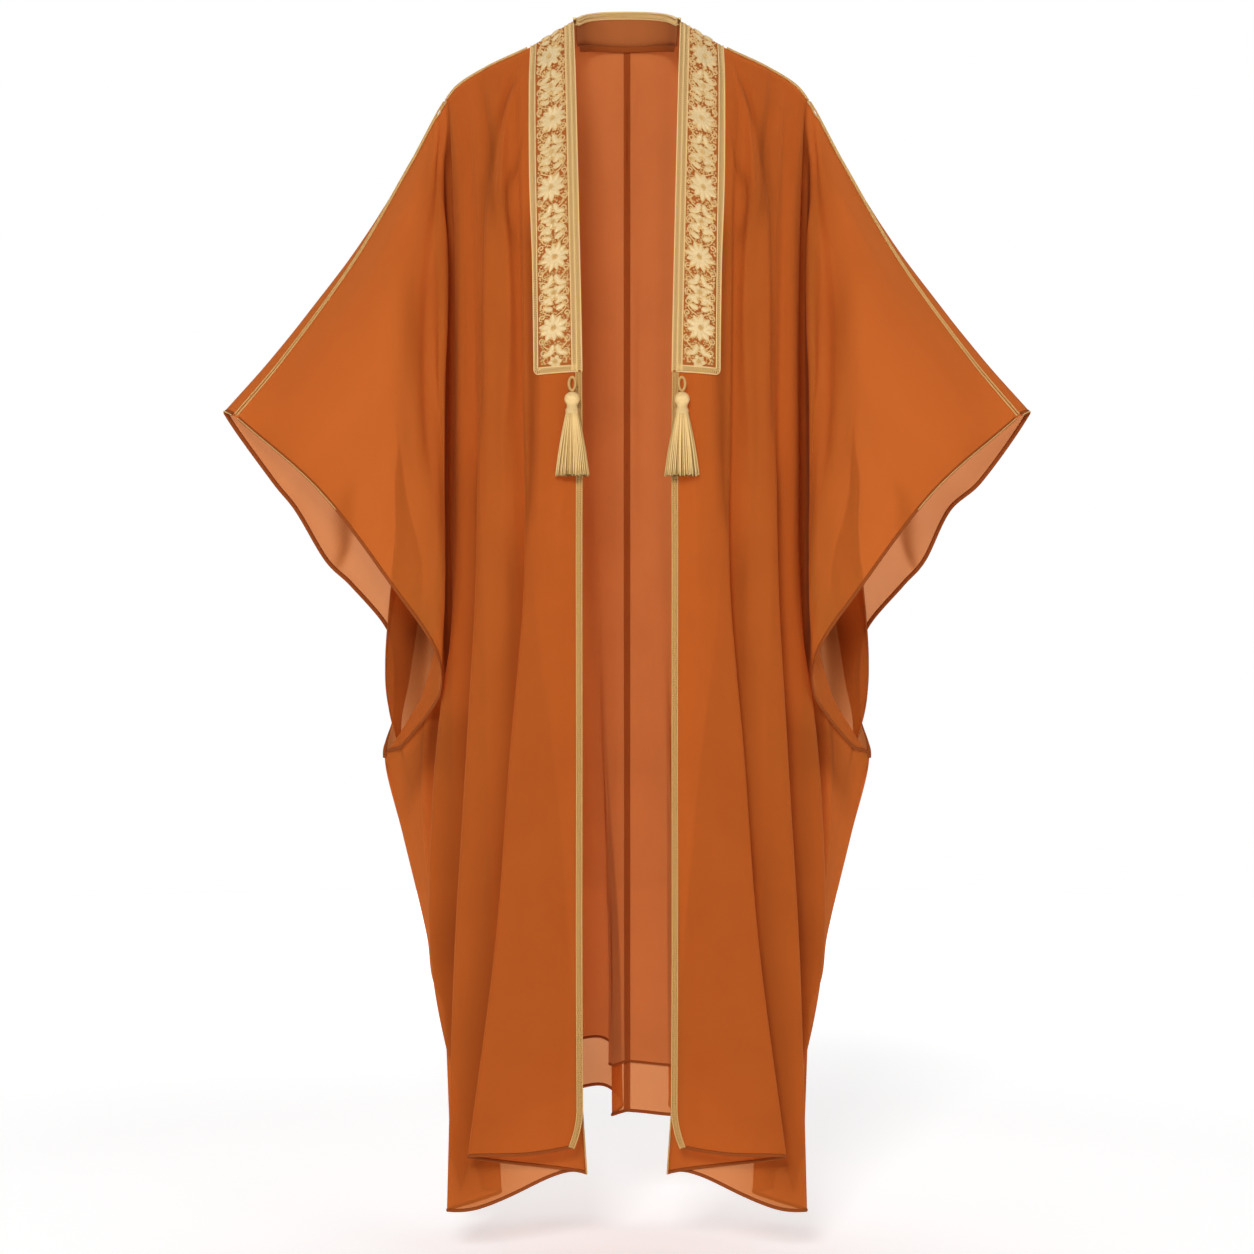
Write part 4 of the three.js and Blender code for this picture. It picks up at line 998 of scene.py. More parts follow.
HEM_MATERIALS = [hem_cloth, cord_gold]
for side in SIDES:
    name, sign = side["name"], side["sign"]
    back = back_cloths[name]
    fronts, backs, inner = Shape(), Shape(), Shape()
    last = front_surface.last
    foot = 1 - HEM_WIDE / 2 / FRONT_LENGTH
    cuff = np.linspace(CUFF_TOP, CUFF_END, 200)
    gold = np.linspace(CUFF_TOP, CUFF_CORD_END, 80)
    lay_cord(fronts, front_cloth, np.linspace(0.05, last, 420), foot, HEM_WIDE, HEM_HIGH, 6)
    lay_cord(fronts, front_cloth, last - 0.01, cuff, HEM_WIDE, HEM_HIGH, 6)
    lay_cord(fronts, front_cloth, last - 0.004, gold, 0.7, 0.7, 5, 1, 0.9)
    last = back_surfaces[name].last
    foot = 1 - HEM_WIDE / 2 / BACK_LENGTH
    cuff = np.linspace(CUFF_TOP, CUFF_END, 240)
    lay_cord(backs, back, np.linspace(0, last, 360), foot, HEM_WIDE, HEM_HIGH, 6)
    lay_cord(backs, back, last - 0.015, cuff, CUFF_HEM, HEM_HIGH, 6)
    lay_cord(backs, back, last, cuff, 0.8, 0.8, 5, 1, 0.9)
    build(f"hem_front_{name}", fronts, sign, HEM_MATERIALS)
    build(f"hem_back_{name}", backs, sign, HEM_MATERIALS)
    u = np.linspace(0.03, LINING_LAST, 160)
    line = back.at(u, LINING_FOOT, -LINING_GAP - CLOTH_MIDDLE)
    outward = back.at(u, LINING_FOOT, 1.0) - back.at(u, LINING_FOOT, 0.0)
    inner.tube(line, *cord_axes(line, outward, 1.6, 0.6), 6)
    down = np.linspace(LINING_TOP, LINING_FOOT, 200)
    lay_tape(inner, back, down, -LINING_GAP - 2.2, TAPE_ACROSS, TAPE_TURN)
    lay_tape(inner, back, np.linspace(LINING_FOOT, 1, 30), -1.6, FOOT_TAPE_ACROSS)
    build(f"hem_back_lining_{name}", inner, sign, [hem_cloth])

# %% [markdown]
# ## Braids
#
# A flat braid is two rows of slanted stitches that meet in a herringbone, with a round cord at each edge.
# A pattern drawn on a strip would be flat at the rim of the cloth, so each stitch is a short bent tube. One
# function lays a braid along any line, and the bands, the front edges and the neck all use it.

# %% Herringbone braid
STITCH_THICK = 0.8
STITCH_PITCH = 2.7
STITCH_SLANT = 0.8


def braid(shape, line, outward, half, slot=0, ground=None):
    """A herringbone of stitches along a line on a surface, 'half' wide each side, over a ground strip."""
    walked = walk(line)
    places = np.arange(STITCH_PITCH / 2, walked[-1] - half, STITCH_PITCH)
    side, up = cord_axes(line, outward, 1.0, 1.0)
    ahead = np.cross(up, side)

    def at(values):
        return np.stack([np.interp(places, walked, values[:, k]) for k in range(3)], axis=1)

    middle, side_at, up_at, ahead_at = at(line), at(side), at(up), at(ahead)
    lean = np.sign((np.gradient(line, axis=0) * ahead).sum())
    for way in (-1, 1):
        reach = side_at * half * way + ahead_at * half * STITCH_SLANT * lean
        for place in range(len(places)):
            foot = middle[place] - reach[place] * 0.08
            crest = foot + reach[place] * 0.5 + up_at[place] * STITCH_THICK * 0.5
            stitch = np.array([foot, crest, foot + reach[place]])
            normal = np.tile(up_at[place], (3, 1))
            shape.tube(stitch, *cord_axes(stitch, normal, STITCH_THICK, STITCH_THICK * 0.8), 4, slot)
        shape.tube(line + side * (half + 0.5) * way, side * 0.9, up * 0.9, 6, slot)
    if ground is not None:
        shape.tube(line, side * (half + 0.4), up * 0.3, 4, ground)


print("a braid has a pair of stitches every", STITCH_PITCH, "mm")


# %% Front edge braid, arm seam cords and fold cords
ON_CLOTH = 1.0
BRAID_MIDDLE = 4.0
BRAID_HALF = 2.6
# the two arm seam cords lie this far above the seam and to each side of it
SEAM_CORD_LIFT = 1.6
SEAM_CORD_SIDE = 1.9


def u_at_distance(cloth, distance, v):
    """Where a distance from the front edge falls, by measuring along the cloth."""
    u = np.linspace(0, 3, 240)
    line = cloth.at(u[:, None], v[None])
    return np.array([np.interp(distance, walk(line[:, k]), u) for k in range(len(v))])


trim_pieces = {}
v = np.linspace((BAND_LENGTH - 1) / FRONT_LENGTH, 1, 420)
edge = Shape()
edge_u = u_at_distance(front_cloth, BRAID_MIDDLE, v)
braid(edge, *edge_line(front_cloth, edge_u, v, ON_CLOTH), BRAID_HALF, 0, 1)
fold = Shape()
lay_cord(fold, front_cloth, 3.0, np.linspace(0.9, 1, 60), 1.1, 1.1, 6, lift=-1.6)
along = np.linspace(BAND_WIDTH + 3, ARM_SEAM_END - 2, 320)
front_u = np.interp(along, front_surface.along_of(front_cloth.u), front_cloth.u)
for side in SIDES:
    name, sign = side["name"], side["sign"]
    woven = build(f"edge_braid_woven_{name}", edge, sign, [cord_gold, braid_ground])
    twisted = build(f"fold_cord_twisted_{name}", fold, sign, [cord_gold])
    back = back_cloths[name]
    back_u = np.interp(along + NECK_ARC, back_surfaces[name].along_of(back.u), back.u)
    _, out_front = edge_line(front_cloth, front_u, 0.004, 0.0)
    _, out_back = edge_line(back, back_u, 0.004, 0.0)
    outward = 2 * out_front + out_back
    outward /= np.linalg.norm(outward, axis=1, keepdims=True)
    seam = Shape()
    line = arm_seam_at(along) + outward * SEAM_CORD_LIFT
    side_axis, up_axis = cord_axes(line, outward, 1.0, 1.2)
    for way in (-1, 1):
        seam.tube(line + side_axis * way * SEAM_CORD_SIDE, side_axis, up_axis, 8)
    cords = build(f"arm_seam_cords_{name}", seam, sign, [cord_gold])
    for label, piece in (("edge_braid", woven), ("fold_cord", twisted), ("seam_braid", cords)):
        trim_pieces[f"{label}_{name}"] = piece

# %% [markdown]
# ## The embroidered bands
#
# Each band is a strip of dense cloth on the front edge, worked in gold: herringbone borders round a field
# of daisies, leaves, scrolls and sequins. All of it is drawn in the band's own flat sizes, across it and
# down it, and then carried on to the draped cloth, so that the work follows every fold.

# %% From the flat band to the draped one
BAND_LIFT = ON_CLOTH + 0.5
BAND_TOP = 1
BAND_COLUMNS = 30
BAND_ROWS = 220
band_across = np.linspace(0, BAND_WIDTH, BAND_COLUMNS)
band_down = np.linspace(BAND_TOP, BAND_LENGTH, BAND_ROWS)
band_grid = np.zeros((BAND_COLUMNS, BAND_ROWS, 3))
band_out = np.zeros((BAND_COLUMNS, BAND_ROWS, 3))
for i, across in enumerate(band_across):
    level = BAND_LEVEL * across / BAND_WIDTH * (band_down / BAND_LENGTH) ** 6
    v = (band_down - level) / FRONT_LENGTH
    u = u_at_distance(front_cloth, across, v)
    band_grid[i] = front_cloth.at(u, v, BAND_LIFT)
    band_out[i] = front_cloth.at(u, v, BAND_LIFT + 1) - band_grid[i]


def on_band(across, down, lift=0.0):
    """Points and outward directions on the draped band, for flat places in millimetres."""
    across, down, lift = np.broadcast_arrays(np.asarray(across, float), np.asarray(down, float), lift)
    cells = (BAND_COLUMNS - 1, BAND_ROWS - 1)
    a = np.clip(across / BAND_WIDTH * cells[0], 0, cells[0] - 0.001)
    d = np.clip((down - BAND_TOP) / (BAND_LENGTH - BAND_TOP) * cells[1], 0, cells[1] - 0.001)
    i, k = a.astype(int), d.astype(int)
    a, d = (a - i)[..., None], (d - k)[..., None]
    outward = blend(band_out, i, k, a, d)
    return blend(band_grid, i, k, a, d) + outward * lift[..., None], outward


def stitch_line(shape, path, wide, high, slot, lift=0.6, sides=5):
    """A cord sewn on the band along a flat path."""
    path = np.asarray(path, float)
    line, outward = on_band(path[:, 0], path[:, 1], lift)
    shape.tube(line, *cord_axes(line, outward, wide, high), sides, slot)


print("band grid:", BAND_COLUMNS, "by", BAND_ROWS, "places")


# %% Petals, leaves, scrolls and sequins
GROUND, BRAID, PETAL, STEM, SEQUIN = range(5)
PETAL_LIFT = 0.5
HEART = 1.6
# a bead's section, as shares of its radius outwards and upwards
BEAD_SECTION = [(1.0, 0.0), (0.8, 0.6), (0.35, 0.9)]


def petal(shape, root, angle, length, wide, high):
    """A padded satin stitch leaf with a groove down it and a cord round it."""
    t = np.linspace(0, 1, 9)[:, None]
    s = np.linspace(-1, 1, 7)[None]
    half = wide / 2 * np.sin(np.pi * np.clip(t, 0.02, 0.985) ** 0.8) ** 0.75
    ahead = np.array([math.sin(angle), math.cos(angle)])
    aside = np.array([math.cos(angle), -math.sin(angle)])
    flat = np.asarray(root) + t[..., None] * length * ahead + (half * s)[..., None] * aside
    rise = high * (1 - s**2) ** 0.6 * np.sin(np.pi * np.clip(t, 0.05, 0.95)) ** 0.5
    groove = 0.35 * high * np.exp(-((s / 0.22) ** 2)) * np.sin(np.pi * t)
    points, _ = on_band(flat[..., 0], flat[..., 1], PETAL_LIFT + (rise - groove))
    shape.grid(points, pairs(t * length * MM, s * 0.5), PETAL)
    rim = np.concatenate([flat[:, 0], flat[::-1, -1]])
    stitch_line(shape, rim, 0.55, 0.6, STEM, PETAL_LIFT + 0.2, 4)


def daisy(shape, centre, reach, petals, turn):
    """Petals round a heart of seven beads, every other one a little shorter."""
    for i in range(petals):
        angle = turn + 2 * math.pi * i / petals
        root = np.asarray(centre) + HEART * np.array([math.sin(angle), math.cos(angle)])
        petal(shape, root, angle, reach * (1 if i % 2 else 0.9), 2.6 * reach / petals * 1.9, 1.5)
    for ring, count in ((0, 1), (2.2, 6)):
        for i in range(count):
            a = 2 * math.pi * i / count
            bead(shape, centre[0] + ring * math.cos(a), centre[1] + ring * math.sin(a), 1.2, 2.2)


def bead(shape, across, down, radius, lift):
    """A small domed bead with six sides."""
    corners = [(math.cos(i * math.pi / 3), math.sin(i * math.pi / 3)) for i in range(6)]
    out = np.array([
        [(across + radius * r * x, down + radius * r * y, lift + radius * h) for x, y in corners]
        for r, h in BEAD_SECTION
    ])
    points, _ = on_band(out[..., 0], out[..., 1], out[..., 2])
    shape.grid(points.transpose(1, 0, 2), np.zeros((6, 3, 2)), SEQUIN, close_across=True, turn=True)


def scroll(shape, centre, start, turns, reach, way):
    """A cord that winds in towards its centre."""
    t = np.linspace(0, 1, 22)
    angle = start + way * turns * 2 * math.pi * t
    radius = reach * (1 - 0.78 * t)
    path = np.stack([centre[0] + radius * np.cos(angle), centre[1] + radius * np.sin(angle)], axis=1)
    stitch_line(shape, path, 0.8, 0.8, STEM, 0.7)


print("the band is worked in", SEQUIN + 1, "materials")


# %% Ground and borders
FIELD_LEFT = 13.5
FIELD_RIGHT = 49
FIELD_MIDDLE = (FIELD_LEFT + FIELD_RIGHT) / 2
BORDER_FOOT = 8.5
BORDER_LIFT = 0.7
# the outer border runs at this radius round the middle of the band's rounded corner
CORNER = 9
CORNER_ACROSS = BAND_WIDTH - CORNER
CORNER_DOWN = BAND_LENGTH - CORNER
BORDER_REACH = 5.0
band = Shape()
share = np.linspace(0, 1, 150)
corner = np.maximum(band_across - CORNER_ACROSS, 0)
foot = BAND_LENGTH - (CORNER - np.sqrt(CORNER**2 - corner**2))
ground_down = BAND_TOP + share[None] * (foot[:, None] - BAND_TOP)
points, _ = on_band(band_across[:, None], ground_down)
band.grid(points, pairs(band_across[:, None], ground_down) * MM, GROUND, turn=True)
for middle in (3.1, 9.0):
    braid(band, *on_band(middle, np.linspace(2, BAND_LENGTH, 200), BORDER_LIFT), 2.2, BRAID)
border = [(CORNER_ACROSS + BORDER_REACH, down) for down in np.linspace(2, CORNER_DOWN - 1, 180)]
for turn in np.linspace(0, math.pi / 2, 14):
    out, lower = BORDER_REACH * math.cos(turn), BORDER_REACH * math.sin(turn)
    border.append((CORNER_ACROSS + out, CORNER_DOWN + lower))
border += [(across, CORNER_DOWN + BORDER_REACH) for across in np.linspace(CORNER_ACROSS - 1, 5, 24)]
border = np.array(border)
braid(band, *on_band(border[:, 0], border[:, 1], BORDER_LIFT), 2.9, BRAID)
print("field:", FIELD_RIGHT - FIELD_LEFT, "mm wide")

# %% Daisies and the sprays between them
REPEAT = 84
FIRST_DAISY = 34
# leaves and scrolls of a spray: how far below its middle, which way they point, and a leaf's length
SPRAY_LEAVES = [(-21, 0.35, 12), (-13, 1.2, 13), (-3, 1.75, 12), (5, 1.2, 14), (13, 2.2, 13), (20, 1.9, 11)]
SPRAY_SCROLLS = [(-12, 1.6), (2, -1.6), (14, 1.6)]
for row in range(5):
    down = FIRST_DAISY + REPEAT * row
    daisy(band, (FIELD_MIDDLE + 1.5 * (-1) ** row, down), 15.5, 12 if row % 2 else 10, 0.3 * row)
    for way in (-1, 1):
        scroll(band, (FIELD_MIDDLE + way * 14.2, down - 15), math.pi / 2, 1.2, 4.2, -way)
        scroll(band, (FIELD_MIDDLE + way * 14.2, down + 15), -math.pi / 2, 1.2, 4.2, way)
        scroll(band, (FIELD_MIDDLE + way * 15.8, down), 0.4, 1.0, 2.6, way)
for row in range(-1, 5):
    below = FIRST_DAISY + REPEAT * (row + 0.5)
    for way in (-1, 1):
        for step, angle, length in SPRAY_LEAVES:
            if 4 < below + step < BAND_LENGTH - 22:
                petal(band, (FIELD_MIDDLE + way * 2.0, below + step), way * angle, length, 6.0, 1.3)
        for step, start in SPRAY_SCROLLS:
            if 6 < below + step < BAND_LENGTH - 16:
                scroll(band, (FIELD_MIDDLE + way * 13.4, below + step), start, 1.4, 4.6, way)
    if 8 < below < BAND_LENGTH - 12:
        daisy(band, (FIELD_MIDDLE, below), 6.5, 6, 0.4)
vine_down = np.linspace(4, BAND_LENGTH - 12, 260)
for phase in (0.0, math.pi):
    vine = FIELD_MIDDLE + 13.5 * np.sin(2 * math.pi * vine_down / REPEAT * 2 + phase)
    stitch_line(band, np.stack([vine, vine_down], axis=1), 0.75, 0.7, STEM, 0.35)
print("daisies: 5 large ones, and small ones between them every", REPEAT, "mm")

# %% Beads over the ground, and the finished bands
BEAD_ROWS = 150
BEAD_COLUMNS = 13
BEAD_SHARE = 0.72
BEAD_SHIFT = 0.7
random = np.random.RandomState(41)
for row in range(BEAD_ROWS):
    for column in range(BEAD_COLUMNS):
        across = FIELD_LEFT + 0.8 + 2.8 * (column + 0.5 * (row % 2)) + random.uniform(-BEAD_SHIFT, BEAD_SHIFT)
        down = 3 + 2.75 * row + random.uniform(-BEAD_SHIFT, BEAD_SHIFT)
        inside = across < FIELD_RIGHT - 0.6 and down < BAND_LENGTH - BORDER_FOOT
        if inside and random.uniform() < BEAD_SHARE:
            bead(band, across, down, random.uniform(0.9, 1.5), 0.3)
band_pieces = {}
BAND_MATERIALS = [band_ground, braid_gold, petal_gold, stem_gold, sequin_gold]
for side in SIDES:
    name, sign = side["name"], side["sign"]
    band_pieces[f"band_{name}"] = build(f"band_embroidered_{name}", band, sign, BAND_MATERIALS)

# %% [markdown]
# ## The standing neck
#
# A low collar of folded cloth stands round the back of the neck and ends under the two bands. It could be a
# strip bent along a curve. Here a folded section is carried round between two lines, one at its foot and
# one at its top, so that it leans and its rim dips towards the front as a worn collar does. A braid covers
# its rim on both faces, and a thick seam holds its foot.


# %% Neck stand and its braid
STAND = ("turn", "out", "depth", "height")
stand_foot = space_curve(
    rows(STAND, (0, 0, -1.6, 0.15), (0.33, 26, -8, 0), (0.66, 46, -27, -3), (1, 56, -58, -10)), "turn")
stand_top = space_curve(
    rows(STAND, (0, 0, 7, 44), (0.33, 28, 1, 42), (0.66, 48, -20, 35), (1, 59, -53, 23)), "turn")
# past its last turn the stand runs on forwards, this far for each whole turn
RUN_ON = 100 * np.array([0.4, -1.0, 0.0])


def stand_at(turn, rise, outwards):
    """A point of the stand: turn -1 to 1 round the neck, rise 0 to 1 up it, and millimetres out."""
    share = np.minimum(np.abs(turn), 1.0)
    past = np.maximum(np.abs(turn) - 1, 0)
    point = stand_foot(share) * (1 - rise) + stand_top(share) * rise
    ahead = stand_top(np.minimum(1, share + 0.01)) - stand_top(np.maximum(0, share - 0.01))
    away = np.stack([-ahead[..., 1], ahead[..., 0], 0 * share], axis=-1)
    away /= np.linalg.norm(away, axis=-1, keepdims=True)
    point = point + away * outwards + past * RUN_ON
    point[..., 0] *= np.where(turn < 0, -1, 1)
    return point


def round_stand(turns, rise, outwards):
    return np.array([stand_at(np.array(turn), rise, outwards) for turn in turns])


STAND_WALL = 1.4
# the stand's folded section, as rise and millimetres out
STAND_SECTION = [(0, 0), (0.25, 0), (0.5, 0), (0.75, 0), (1, 0), (1, STAND_WALL), (0.5, STAND_WALL),
                 (0, STAND_WALL)]
turns = np.linspace(-1.04, 1.04, 90)
stand = Shape()
rings = np.array([round_stand(turns, rise, out) for rise, out in STAND_SECTION])
flat = pairs(turns[None] * NECK_ARC * MM, np.arange(len(STAND_SECTION))[:, None] * 0.012)
stand.grid(rings, flat, close_across=True)
line = round_stand(turns, -0.08, -1.6)
stand.tube(line, np.tile([0, 0, 3.8], (len(line), 1)), np.tile([0, 0.7, 0], (len(line), 1)), 8, 1)
neck_stand = build("neck_stand_cloth", stand, 1, [facing, hem_cloth])
rim = Shape()
around = np.linspace(-1.06, 1.06, 200)
for out in (-1.0, 2.4):
    line = round_stand(around, 0.9, out)
    outward = round_stand(around, 0.9, out + np.sign(out)) - line
    braid(rim, line, outward, 3.2, 0, 1)
line = round_stand(around, 1.0, STAND_WALL / 2)
rim.tube(line, *cord_axes(line, np.tile([0.0, 0.0, 1.0], (len(line), 1)), 2.0, 1.4), 8)
neck_braid = build("neck_braid_woven", rim, 1, [braid_gold, braid_ground])

# %% [markdown]
# ## Tassels
#
# A tassel hangs by a cord loop from the foot of each band: a round head, a bound neck and a skirt of
# strands. Hair could make the skirt, but here each strand is a thin tube of its own. Three rings of
# strands spread towards the foot, the inner ones less, and the strands gather into locks. Those that lie
# between two locks take a copy of the silk in painted shade.

# %% Tassels and loops
LOCKS = 22
HANG = np.array([62.0, -208.0, -429.0])
# the head and the bound neck, as distance down and radius
HEAD = [(0, 0.5), (1, 4), (3, 6.6), (5, 8), (8, 8.7), (10, 8.6), (13, 7.4), (15, 6.4), (18, 6.2), (20, 7.4),
        (23, 7.4), (25, 7.2)]
HEAD_SIDES = 40
HEAD_LINES = 40
HEAD_FLAT = 0.75
# the first line of points that belongs to the bound neck
NECK_LINE = 21
SKIRT_TOP = 23
SKIRT_FOOT = 95
SKIRT_FLAT = 0.6
STRAND_THICK = 0.95
STRAND_RINGS = rows(("count", "root", "spread"), (52, 6.2, 17.5), (38, 4.6, 13.0), (24, 2.8, 8.0))
LOOP_HIGH = (1.4, 17)
LOOP_HALF = 3.6
LOOP_BACK = 10
SILK_MATERIALS = [silk, silk_head, silk_wrap, silk_shade]
STRAND, HEAD_SILK_SLOT, WRAP, SHADED_STRAND = range(4)


def tassel_head(shape):
    angle = np.arange(HEAD_SIDES) * 2 * np.pi / HEAD_SIDES
    down = np.linspace(0, HEAD[-1][0], HEAD_LINES)
    radius = through([d for d, _ in HEAD], [r for _, r in HEAD])(down)[None]
    ring = np.stack(np.broadcast_arrays(
        radius * np.cos(angle)[:, None], HEAD_FLAT * radius * np.sin(angle)[:, None], -down[None]), axis=2)
    flat = pairs(down[None] * MM, angle[:, None] / 6.28)
    for lines, slot in ((slice(0, NECK_LINE + 1), HEAD_SILK_SLOT), (slice(NECK_LINE, HEAD_LINES), WRAP)):
        shape.grid((ring + HANG)[:, lines], flat[:, lines], slot, close_across=True, turn=True)


def tassel_skirt(shape, random):
    t = np.linspace(0, 1, 9)
    for ring in STRAND_RINGS:
        for i in range(ring["count"]):
            a = 2 * np.pi * (i + random.uniform(-0.3, 0.3)) / ring["count"]
            lock = math.cos(LOCKS * a)
            r = ring["root"] + (ring["spread"] - ring["root"]) * t + 1.2 * np.sin(np.pi * t)
            r = (r + random.uniform(-0.6, 0.6) * t) * (1 + 0.07 * t * lock)
            length = SKIRT_FOOT + random.uniform(-1.5, 1.0) - SKIRT_TOP
            line = np.stack([r * np.cos(a), SKIRT_FLAT * r * np.sin(a), -(SKIRT_TOP + length * t)], axis=1)
            out = np.tile([np.cos(a), np.sin(a), 0], (len(t), 1))
            axes = cord_axes(line + HANG, out, STRAND_THICK, STRAND_THICK)
            # strands between the locks take the silk in painted shade
            shape.tube(line + HANG, *axes, 4, STRAND if lock > -0.4 else SHADED_STRAND)


def tassel_loop():
    shape = Shape()
    a = np.linspace(0, 2 * np.pi, 49)
    share = 0.5 + 0.5 * np.cos(a)
    height = HANG[2] + LOOP_HIGH[0] + (LOOP_HIGH[1] - LOOP_HIGH[0]) * share
    line = np.stack([HANG[0] + LOOP_HALF * np.sin(a), HANG[1] + LOOP_BACK * share, height], axis=1)
    radial = np.stack([np.sin(a), 0 * a, np.cos(a)], axis=1)
    shape.tube(line, radial * 1.7, np.tile([0, 1.5, 0], (len(a), 1)), 8, caps=False)
    return shape


tassel_pieces = {}
for side in SIDES:
    name, sign = side["name"], side["sign"]
    shape = Shape()
    tassel_head(shape)
    tassel_skirt(shape, np.random.RandomState(5 if sign > 0 else 6))
    tassel_pieces[f"tassel_{name}"] = build(f"tassel_silk_{name}", shape, sign, SILK_MATERIALS)
    loop = build(f"tassel_loop_twisted_{name}", tassel_loop(), sign, [cord_gold])
    tassel_pieces[f"tassel_loop_{name}"] = loop

# %% [markdown]
# ## The studio
#
# A plain pale room gives plain soft light. A sheet of paper behind the garment would do from the front, but
# it would hide the garment from behind. So the floor is round, and it bends up into a wall on every side.
# The wall gives light and returns none, which keeps the light simple. It is brighter behind the garment, so
# that the sheer layers glow, and the camera sees all of it as white. The floor glows a little more towards
# the wall, so that no line shows where they meet.

# %% The round floor and its wall
scene = bpy.context.scene
scene.view_settings.view_transform = "Standard"
FLOOR = -1.4225
FLOOR_GLOW = 0.41
FAR_FLOOR_GLOW = 0.75
BACK_GLOW = 0.95
FRONT_GLOW = 0.12
SEEN_GLOW = 1.0
FLOOR_RINGS = [0.5, 1.0, 1.5, 2.0, 2.6, 3.2, 3.9, 4.6]
BEND = 3.0
WALL_TOP = 8.0
STUDIO_SIDES = 64


def studio_paint():
    """The floor's white paint, which also glows as its 'floor glow' numbers say."""
    paint = bpy.data.materials.new("studio paint")
    paint.use_nodes = True
    body = paint.node_tree.nodes["Principled BSDF"]
    body.inputs["Base Color"].default_value = (0.8, 0.8, 0.8, 1)
    body.inputs["Roughness"].default_value = 0.9
    body.inputs["Emission Color"].default_value = (1, 1, 1, 1)
    glow = node(paint.node_tree, "ShaderNodeAttribute", (-600, 0), attribute_name="floor glow").outputs["Fac"]
    paint.node_tree.links.new(glow, body.inputs["Emission Strength"])
    return paint


def studio_wall():
    """A wall of light, by its 'wall glow' numbers, that the camera sees as plain white."""
    wall = bpy.data.materials.new("studio wall")
    wall.use_nodes = True
    tree = wall.node_tree
    tree.nodes.clear()
    glow = node(tree, "ShaderNodeAttribute", (-600, 0), attribute_name="wall glow").outputs["Fac"]
    seen = node(tree, "ShaderNodeLightPath", (-600, -200)).outputs["Is Camera Ray"]
    strength = node(tree, "ShaderNodeMix", (-400, 0), {"Factor": seen, "A": glow, "B": SEEN_GLOW})
    lamp = node(tree, "ShaderNodeEmission", (-200, 0), {"Strength": strength.outputs["Result"]})
    tree.links.new(lamp.outputs[0], node(tree, "ShaderNodeOutputMaterial", (0, 0)).inputs[0])
    return wall


profile = [(r, 0) for r in FLOOR_RINGS]
for t in np.linspace(0.12, math.pi / 2, 12):
    profile.append((FLOOR_RINGS[-1] + BEND * math.sin(t), BEND * (1 - math.cos(t))))
profile.append((FLOOR_RINGS[-1] + BEND, WALL_TOP))
turns = [2 * math.pi * i / STUDIO_SIDES for i in range(STUDIO_SIDES)]
points = [(r * math.cos(a), r * math.sin(a), FLOOR + z) for r, z in profile for a in turns]
faces = [list(range(STUDIO_SIDES))]
for ring in range(len(profile) - 1):
    for i in range(STUDIO_SIDES):
        low, beside = ring * STUDIO_SIDES + i, ring * STUDIO_SIDES + (i + 1) % STUDIO_SIDES
        faces.append([low, low + STUDIO_SIDES, beside + STUDIO_SIDES, beside])
behind = [smooth(math.sin(a) + 0.5) for _ in profile for a in turns]
wall_glows = [FRONT_GLOW + (BACK_GLOW - FRONT_GLOW) * share for share in behind]
far = [smooth((r - 0.9) / 2.2) for r, _ in profile for _ in turns]
floor_glows = [FLOOR_GLOW + (FAR_FLOOR_GLOW - FLOOR_GLOW) * share for share in far]
mesh = bpy.data.meshes.new("studio_floor")
mesh.from_pydata(points, [], faces)
mesh.polygons.foreach_set("use_smooth", [True] * len(faces))
mesh.attributes.new("wall glow", "FLOAT", "POINT").data.foreach_set("value", wall_glows)
mesh.attributes.new("floor glow", "FLOAT", "POINT").data.foreach_set("value", floor_glows)
mesh.materials.append(studio_paint())
mesh.materials.append(studio_wall())
floor_faces = 1 + STUDIO_SIDES * (len(FLOOR_RINGS) - 1)
mesh.polygons.foreach_set("material_index", [0] * floor_faces + [1] * (len(faces) - floor_faces))
floor = bpy.data.objects.new("studio_floor", mesh)
scene.collection.objects.link(floor)
floor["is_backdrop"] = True
print("studio:", len(faces), "faces")


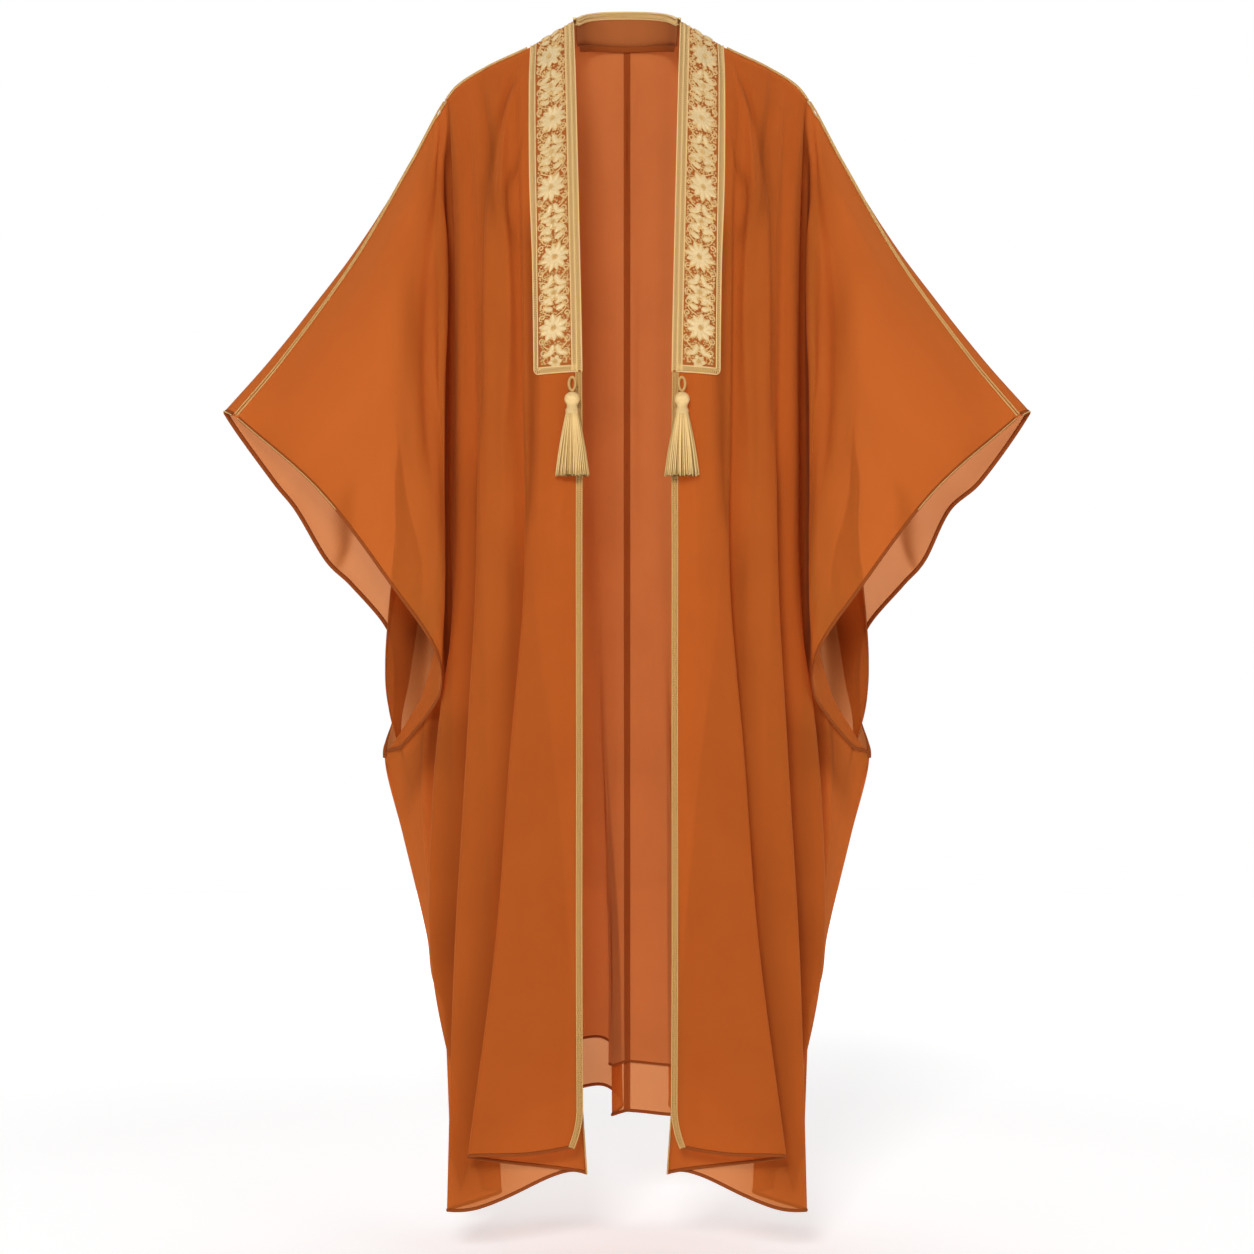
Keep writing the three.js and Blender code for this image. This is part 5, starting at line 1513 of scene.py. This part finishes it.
# %% Lights
LIGHT = ("name", "place", "target", "size", "power")
LIGHTS = rows(
    LIGHT,
    ("key", (-0.5, -4.4, 0.8), (0, 0, -0.7), 0.9, 122),
    ("fill", (2.4, -3.0, 0.6), (0, 0, -0.6), 1.2, 12),
    ("overhead", (0, 0.2, 2.6), (0, 0.1, -1.4), 2.4, 32),
)
AIR_GLOW = 0.1
world = bpy.data.worlds.new("studio air")
world.use_nodes = True
world.node_tree.nodes["Background"].inputs[0].default_value = (1, 1, 1, 1)
world.node_tree.nodes["Background"].inputs[1].default_value = AIR_GLOW
scene.world = world
for row in LIGHTS:
    data = bpy.data.lights.new(row["name"], "AREA")
    data.shape = "RECTANGLE"
    data.size = row["size"]
    data.size_y = row["size"]
    data.energy = row["power"]
    lamp = bpy.data.objects.new(row["name"], data)
    lamp.location = row["place"]
    aim = Vector(row["target"]) - Vector(row["place"])
    lamp.rotation_euler = aim.to_track_quat("-Z", "Y").to_euler()
    scene.collection.objects.link(lamp)
print("lights:", [row["name"] for row in LIGHTS])

# %% Camera
CAMERA_AWAY = 3.5
CAMERA_HEIGHT = -0.6948
FRAME_WIDE = 1.5048
SENSOR = 36.0
camera_data = bpy.data.cameras.new("camera")
camera_data.sensor_width = SENSOR
camera_data.lens = SENSOR * CAMERA_AWAY / FRAME_WIDE
camera = bpy.data.objects.new("camera", camera_data)
camera.location = (0, -CAMERA_AWAY, CAMERA_HEIGHT)
camera.rotation_euler = (math.pi / 2, 0, 0)
scene.collection.objects.link(camera)
scene.camera = camera
print("lens:", round(camera_data.lens, 1), "mm")

# %% [markdown]
# ## The plain solids
#
# Each visible piece stands for its plain solid, so each plain solid is hidden, and the bounds of what is
# left in view are measured.

# %% Hide the plain solids and measure the bounds
for name, piece in {**cloth_pieces, **trim_pieces, **band_pieces, **tassel_pieces}.items():
    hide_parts(name)
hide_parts("neck_stand")
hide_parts("neck_braid")
for side in SIDES:
    name = side["name"]
low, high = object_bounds()
